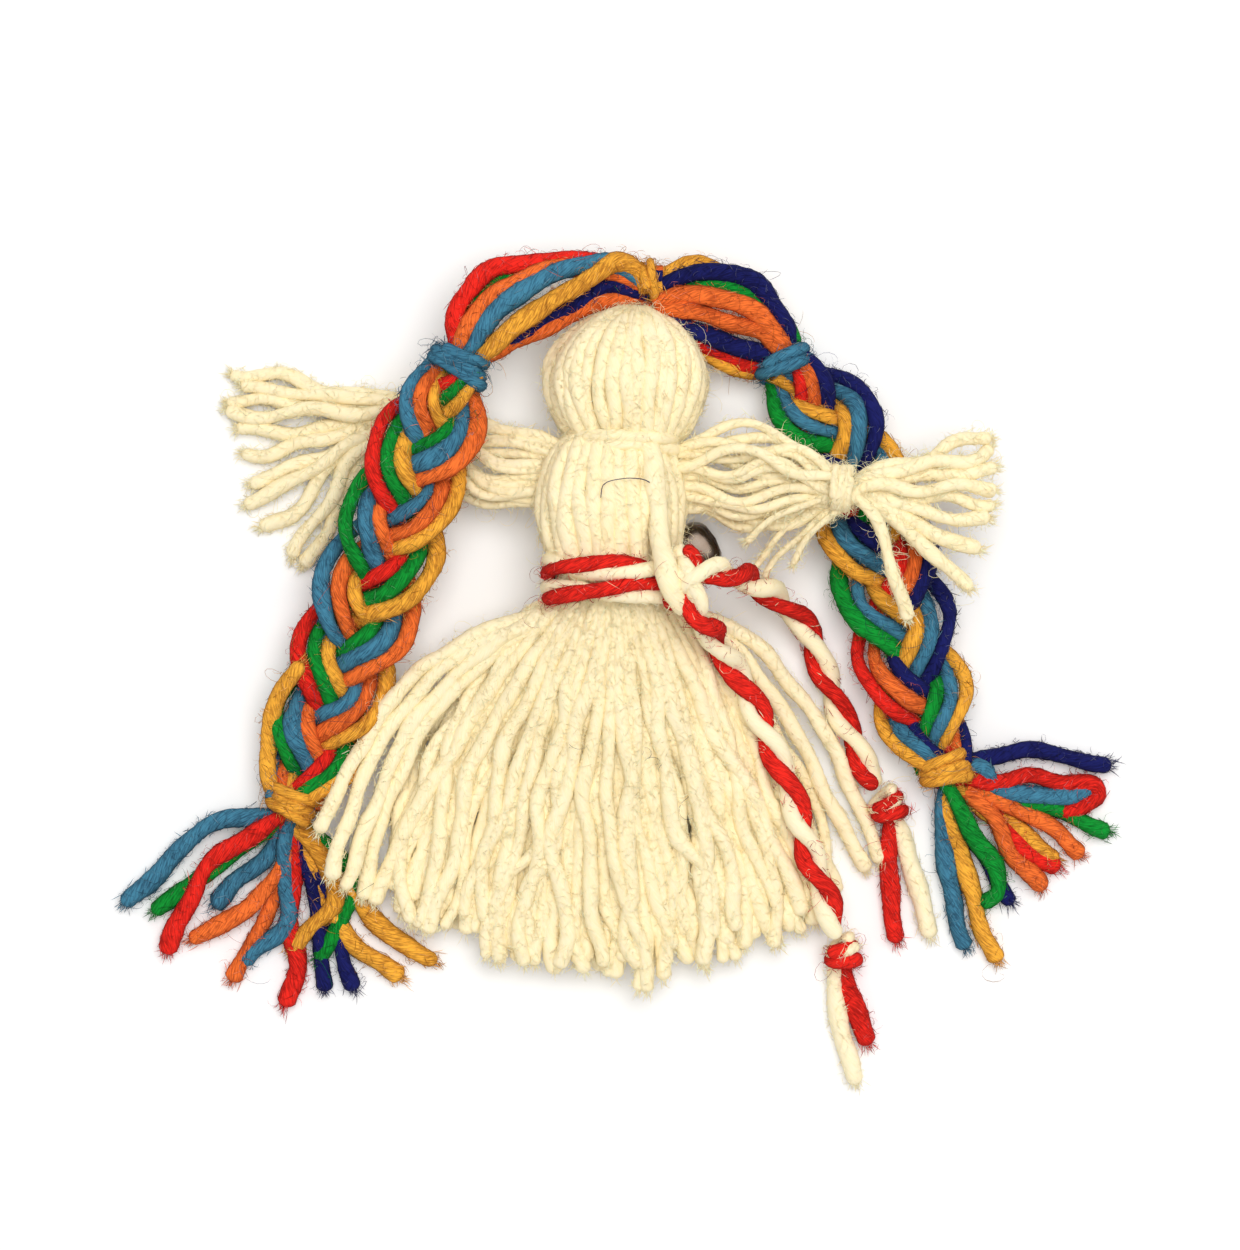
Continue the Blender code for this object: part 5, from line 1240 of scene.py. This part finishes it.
class DollHair(bpy.types.Operator):
    """The hair from the crown to the side ties, with the gold and teal windings that hold it"""
    bl_idname = "doll.hair"
    bl_label = "Locks and ties"

    def execute(self, context):
        yarn = context.scene.doll_sizes.yarn
        for side, sign in SIGNS.items():
            tie = SIDE_TIES[side]
            skein = Skein(f"{side}_lock_yarns", 81 + sign)
            for look, layer, places in LOCKS[side]:
                spot = np.array(places[-1]) * MM
                end = (tie[:2] + (spot - tie[:2]) * 0.55) / MM
                path = through_mm((*places[:-1], end))
                share = share_along(path)
                swell = np.sin(math.pi * share) ** 0.7
                path[:, 2] = (CROWN[2] + (tie[2] - CROWN[2]) * ease(share)
                              + layer * MM * (0.4 + 0.9 * swell))
                width = yarn * np.interp(share, (0, 0.18, 0.85, 1), (0.7, 1.08, 1.08, 0.8))
                skein.yarn(path, look, width * skein.random.uniform(0.96, 1.08), tips=(0, 0))
                skein.strays(path, look, 12, 6.5 * MM)
            middle = CROWN + (tie - CROWN) * 0.3
            dress_across(skein, ("body", side + "_lock"), (CROWN, middle), "orange_wool", side + "_lock")
            wrap = Skein(f"{side}_side_winding", 84 + sign)
            heading, turns = SIDE_WINDINGS[side]
            winding(wrap, tie, heading, (2.9 * MM, 2.5 * MM), "teal", 1.4 * MM, turns, 1.0 * MM, 0.8)
            dress(wrap, side + "_lock", "teal_wool", side + "_side_tie")
        crown = Skein("crown_winding", 87)
        winding(crown, CROWN, (1, 0.25, 0), (2.2 * MM, 2.3 * MM), "gold", 1.0 * MM, 1.8, 0.85 * MM, 1.2)
        bundled = np.linspace(-1, 1, 12)[:, None] * np.array((1.3 * MM, 0, 0))
        for number, look in enumerate(CROWN_LOOKS):
            turn = 2 * math.pi * number / 6
            ring = 1.05 * MM * np.array((0, math.cos(turn), math.sin(turn))) * (number < 6)
            crown.yarn(CROWN + ring + bundled, look, 1.5 * MM, fuzz=0.4, tips=(0, 0))
        dress(crown, "body", "gold_wool", "crown_tie", "crown_bundle")
        return {"FINISHED"}


def plait_line(side):
    """The plait's centre line: straight from tie to tie in plan, bowed outwards by 27/4 s (1-s)^2, its height
    easing from one tie's to the other's."""
    start, end = SIDE_TIES[side], END_TIES[side]
    share = np.linspace(0, 1, 240)
    down = unit((end - start) * (1, 1, 0))
    out = np.array((-down[1], down[0], 0.0))
    out *= np.sign(out[0]) * SIGNS[side]
    line = start + (end - start) * (1, 1, 0) * share[:, None]
    line += out * (PLAIT_BOW[side] * 27 / 4 * share * (1 - share) ** 2)[:, None]
    line[:, 2] = start[2] + (end[2] - start[2]) * ease((share - 0.1) / 0.8)
    return even(line)


class DollPlaits(bpy.types.Operator):
    """Both plaits, three legs of three yarns each, with the gold winding at each end"""
    bl_idname = "doll.plaits"
    bl_label = "Plaits"

    def execute(self, context):
        for side, sign in SIGNS.items():
            line = plait_line(side)
            for leg, looks in enumerate(PLAIT_LEGS[side]):
                skein = Skein(f"{side}_plait_leg_{leg + 1}_yarns", 90 + 10 * sign + leg)
                self.leg(skein, line, PLAIT_PHASE[side] - leg / 3, looks)
                ends = (SIDE_TIES[side], line[len(line) // 8])
                dress_across(skein, (side + "_lock", side + "_plait"), ends, "orange_wool",
                             f"{side}_plait_leg_{leg + 1}")
            tie = Skein(f"{side}_end_winding", 110 + sign)
            winding(tie, line[-1], unit(line[-1] - line[-6]), (2.3 * MM, 2.3 * MM), "gold", 1.5 * MM, 2.4,
                    1.1 * MM, 0.4)
            if side == "left":
                tie.yarn(through_mm(LOOSE_GOLD), "gold")
                tie.strays(line[-24:], "navy", 7, 15.0 * MM)
            dress(tie, side + "_plait", "gold_wool", side + "_end_tie")
        return {"FINISHED"}

    def leg(self, skein, line, phase, looks):
        """One leg of a plait, its yarns side by side. At length s along the centre line it is sway sin q
        across it and -rise sin 2q up it, with q = 2 pi (s / pitch + phase), drawn in at both ends."""
        yarn = bpy.context.scene.doll_sizes.yarn
        run = run_along(line)
        _, across, up = frames_on(line)
        near = ease(np.minimum(run, run[-1] - run) / PLAIT_GATHER)
        gather = PLAIT_GATHER_SHARE + (1 - PLAIT_GATHER_SHARE) * near
        turn = 2 * math.pi * (run / PLAIT_PITCH + phase)
        middle = (line + across * (PLAIT_SWAY * gather * np.sin(turn))[:, None]
                  - up * (PLAIT_RISE * gather ** 0.3 * np.sin(2 * turn))[:, None])
        flat = unit(np.cross(unit(np.gradient(middle, axis=0)), UP))
        for place, look in zip((1, 0, -1), looks):
            wander = skein.random.uniform(-1, 1, 2)[:, None] * np.sin(
                run / (4.1 * MM) + skein.random.uniform(0, 2 * math.pi, 2)[:, None]) * gather
            path = middle + flat * ((place * LEG_SPACING + 0.35 * MM * wander[0]) * gather)[:, None]
            path[:, 2] += 0.3 * MM * (place == 0) + 0.3 * MM * wander[1]
            thick = skein.random.uniform(0.8, 1.06) * (1 + 0.08 * np.sin(
                run / (3.1 * MM) + skein.random.uniform(0, 2 * math.pi)))
            skein.yarn(path, look, yarn * thick * (0.55 + 0.45 * gather), tips=(0, 0))
        skein.strays(middle, looks[0], 24, 7.0 * MM)
        skein.strays(middle, "navy", 12, 9.0 * MM)


class DollTassels(bpy.types.Operator):
    """The cut ends of the hair below the end ties"""
    bl_idname = "doll.tassels"
    bl_label = "Tassels"

    def execute(self, context):
        yarn = context.scene.doll_sizes.yarn
        for side, sign in SIGNS.items():
            line, tie = plait_line(side), END_TIES[side]
            heading = unit((line[-1] - line[-6]) * (1, 1, 0))
            skein = Skein(f"{side}_tassel_yarns", 120 + sign)
            loose_ends(skein, tie, heading, TASSELS[side], 1.5 * MM, yarn / 2)
            bend = (tie - heading * 0.5 * MM, tie + heading * 3.0 * MM)
            dress_across(skein, (side + "_plait", side + "_tassel"), bend, "teal_wool", side + "_tassel")
        return {"FINISHED"}


class DollStageMake(bpy.types.Operator):
    """Pale floor, soft light from above and a camera that looks straight down"""
    bl_idname = "doll.stage"
    bl_label = "Stage"

    def execute(self, context):
        stage = context.scene.doll_stage
        mesh = bpy.data.meshes.new("floor")
        corners = [(x * FLOOR_REACH, y * FLOOR_REACH, 0) for x, y in ((-1, -1), (1, -1), (1, 1), (-1, 1))]
        mesh.from_pydata(corners, [], [(0, 1, 2, 3)])
        mesh.materials.append(self.paper(stage))
        placed("floor", mesh)
        self.lamp("main_lamp", (0.1, 0.2, 0.95), 0.8, stage.lamp)
        world = bpy.data.worlds.new("soft_sky")
        world.use_nodes = True
        set_sockets(world.node_tree.nodes["Background"],
                    {"Color": (1.0, 0.995, 0.985, 1.0), "Strength": stage.sky})
        context.scene.world = world
        context.scene.view_settings.view_transform = "Standard"
        view = bpy.data.cameras.new("overhead")
        view.lens = view.sensor_width * (stage.height - 5 * MM) / SEEN_WIDTH
        camera = placed("overhead", view)
        camera.location = (0.2 * MM, 25.0 * MM, stage.height)
        context.scene.camera = camera
        return {"FINISHED"}

    def paper(self, stage):
        """White paper: a matt floor that the camera sees a little brighter than it is lit."""
        made, tree, shader = new_material("paper")
        set_sockets(shader, {"Base Color": stage.floor, "Roughness": 1.0, "Specular IOR Level": 0.0,
                             "Emission Color": (1, 1, 1, 1)})
        seen = tree.nodes.new("ShaderNodeLightPath").outputs
        direct = math_node(tree, "ADD", seen["Is Camera Ray"], seen["Is Glossy Ray"])
        direct = math_node(tree, "ADD", direct, seen["Is Transmission Ray"])
        tree.links.new(math_node(tree, "MULTIPLY", direct, 0.05), shader.inputs["Emission Strength"])
        return made

    def lamp(self, name, place, size, power):
        """A round lamp aimed at the doll."""
        light = bpy.data.lights.new(name, "AREA")
        light.shape = "DISK"
        light.size = size
        light.energy = power
        made = placed(name, light)
        made.location = place
        aim = -np.array(place) + (0, 0.02, 0)
        made.rotation_euler = (math.atan2(math.hypot(aim[0], aim[1]), -aim[2]), 0,
                               math.atan2(aim[0], -aim[1]) + math.pi)


class DollPanel(bpy.types.Panel):
    """Sizes, colours and steps of the doll"""
    bl_idname = "VIEW3D_PT_doll"
    bl_label = "Yarn doll"
    bl_space_type = "VIEW_3D"
    bl_region_type = "UI"
    bl_category = "Doll"

    def draw(self, context):
        for group in GROUPS:
            values = getattr(context.scene, group)
            for name in values.bl_rna.properties.keys():
                if name not in ("rna_type", "name"):
                    self.layout.prop(values, name)
        for step in STEPS:
            self.layout.operator(step.bl_idname)


GROUPS = {"doll_sizes": DollSizes, "doll_colours": DollColours, "doll_stage": DollStage}
STEPS = (DollStageMake, DollTails, DollHead, DollTorso, DollSkirt, DollArms, DollBelt, DollPin, DollHair,
         DollPlaits, DollTassels)


def register():
    for made in (*GROUPS.values(), *STEPS, DollPanel):
        bpy.utils.register_class(made)
    for name, made in GROUPS.items():
        setattr(bpy.types.Scene, name, bpy.props.PointerProperty(type=made))


def unregister():
    for name in GROUPS:
        delattr(bpy.types.Scene, name)
    for made in (DollPanel, *reversed(STEPS), *GROUPS.values()):
        bpy.utils.unregister_class(made)


def main():
    register()
    for step in STEPS:
        group, name = step.bl_idname.split(".")
        getattr(getattr(bpy.ops, group), name)()


if __name__ == "__main__":
    main()
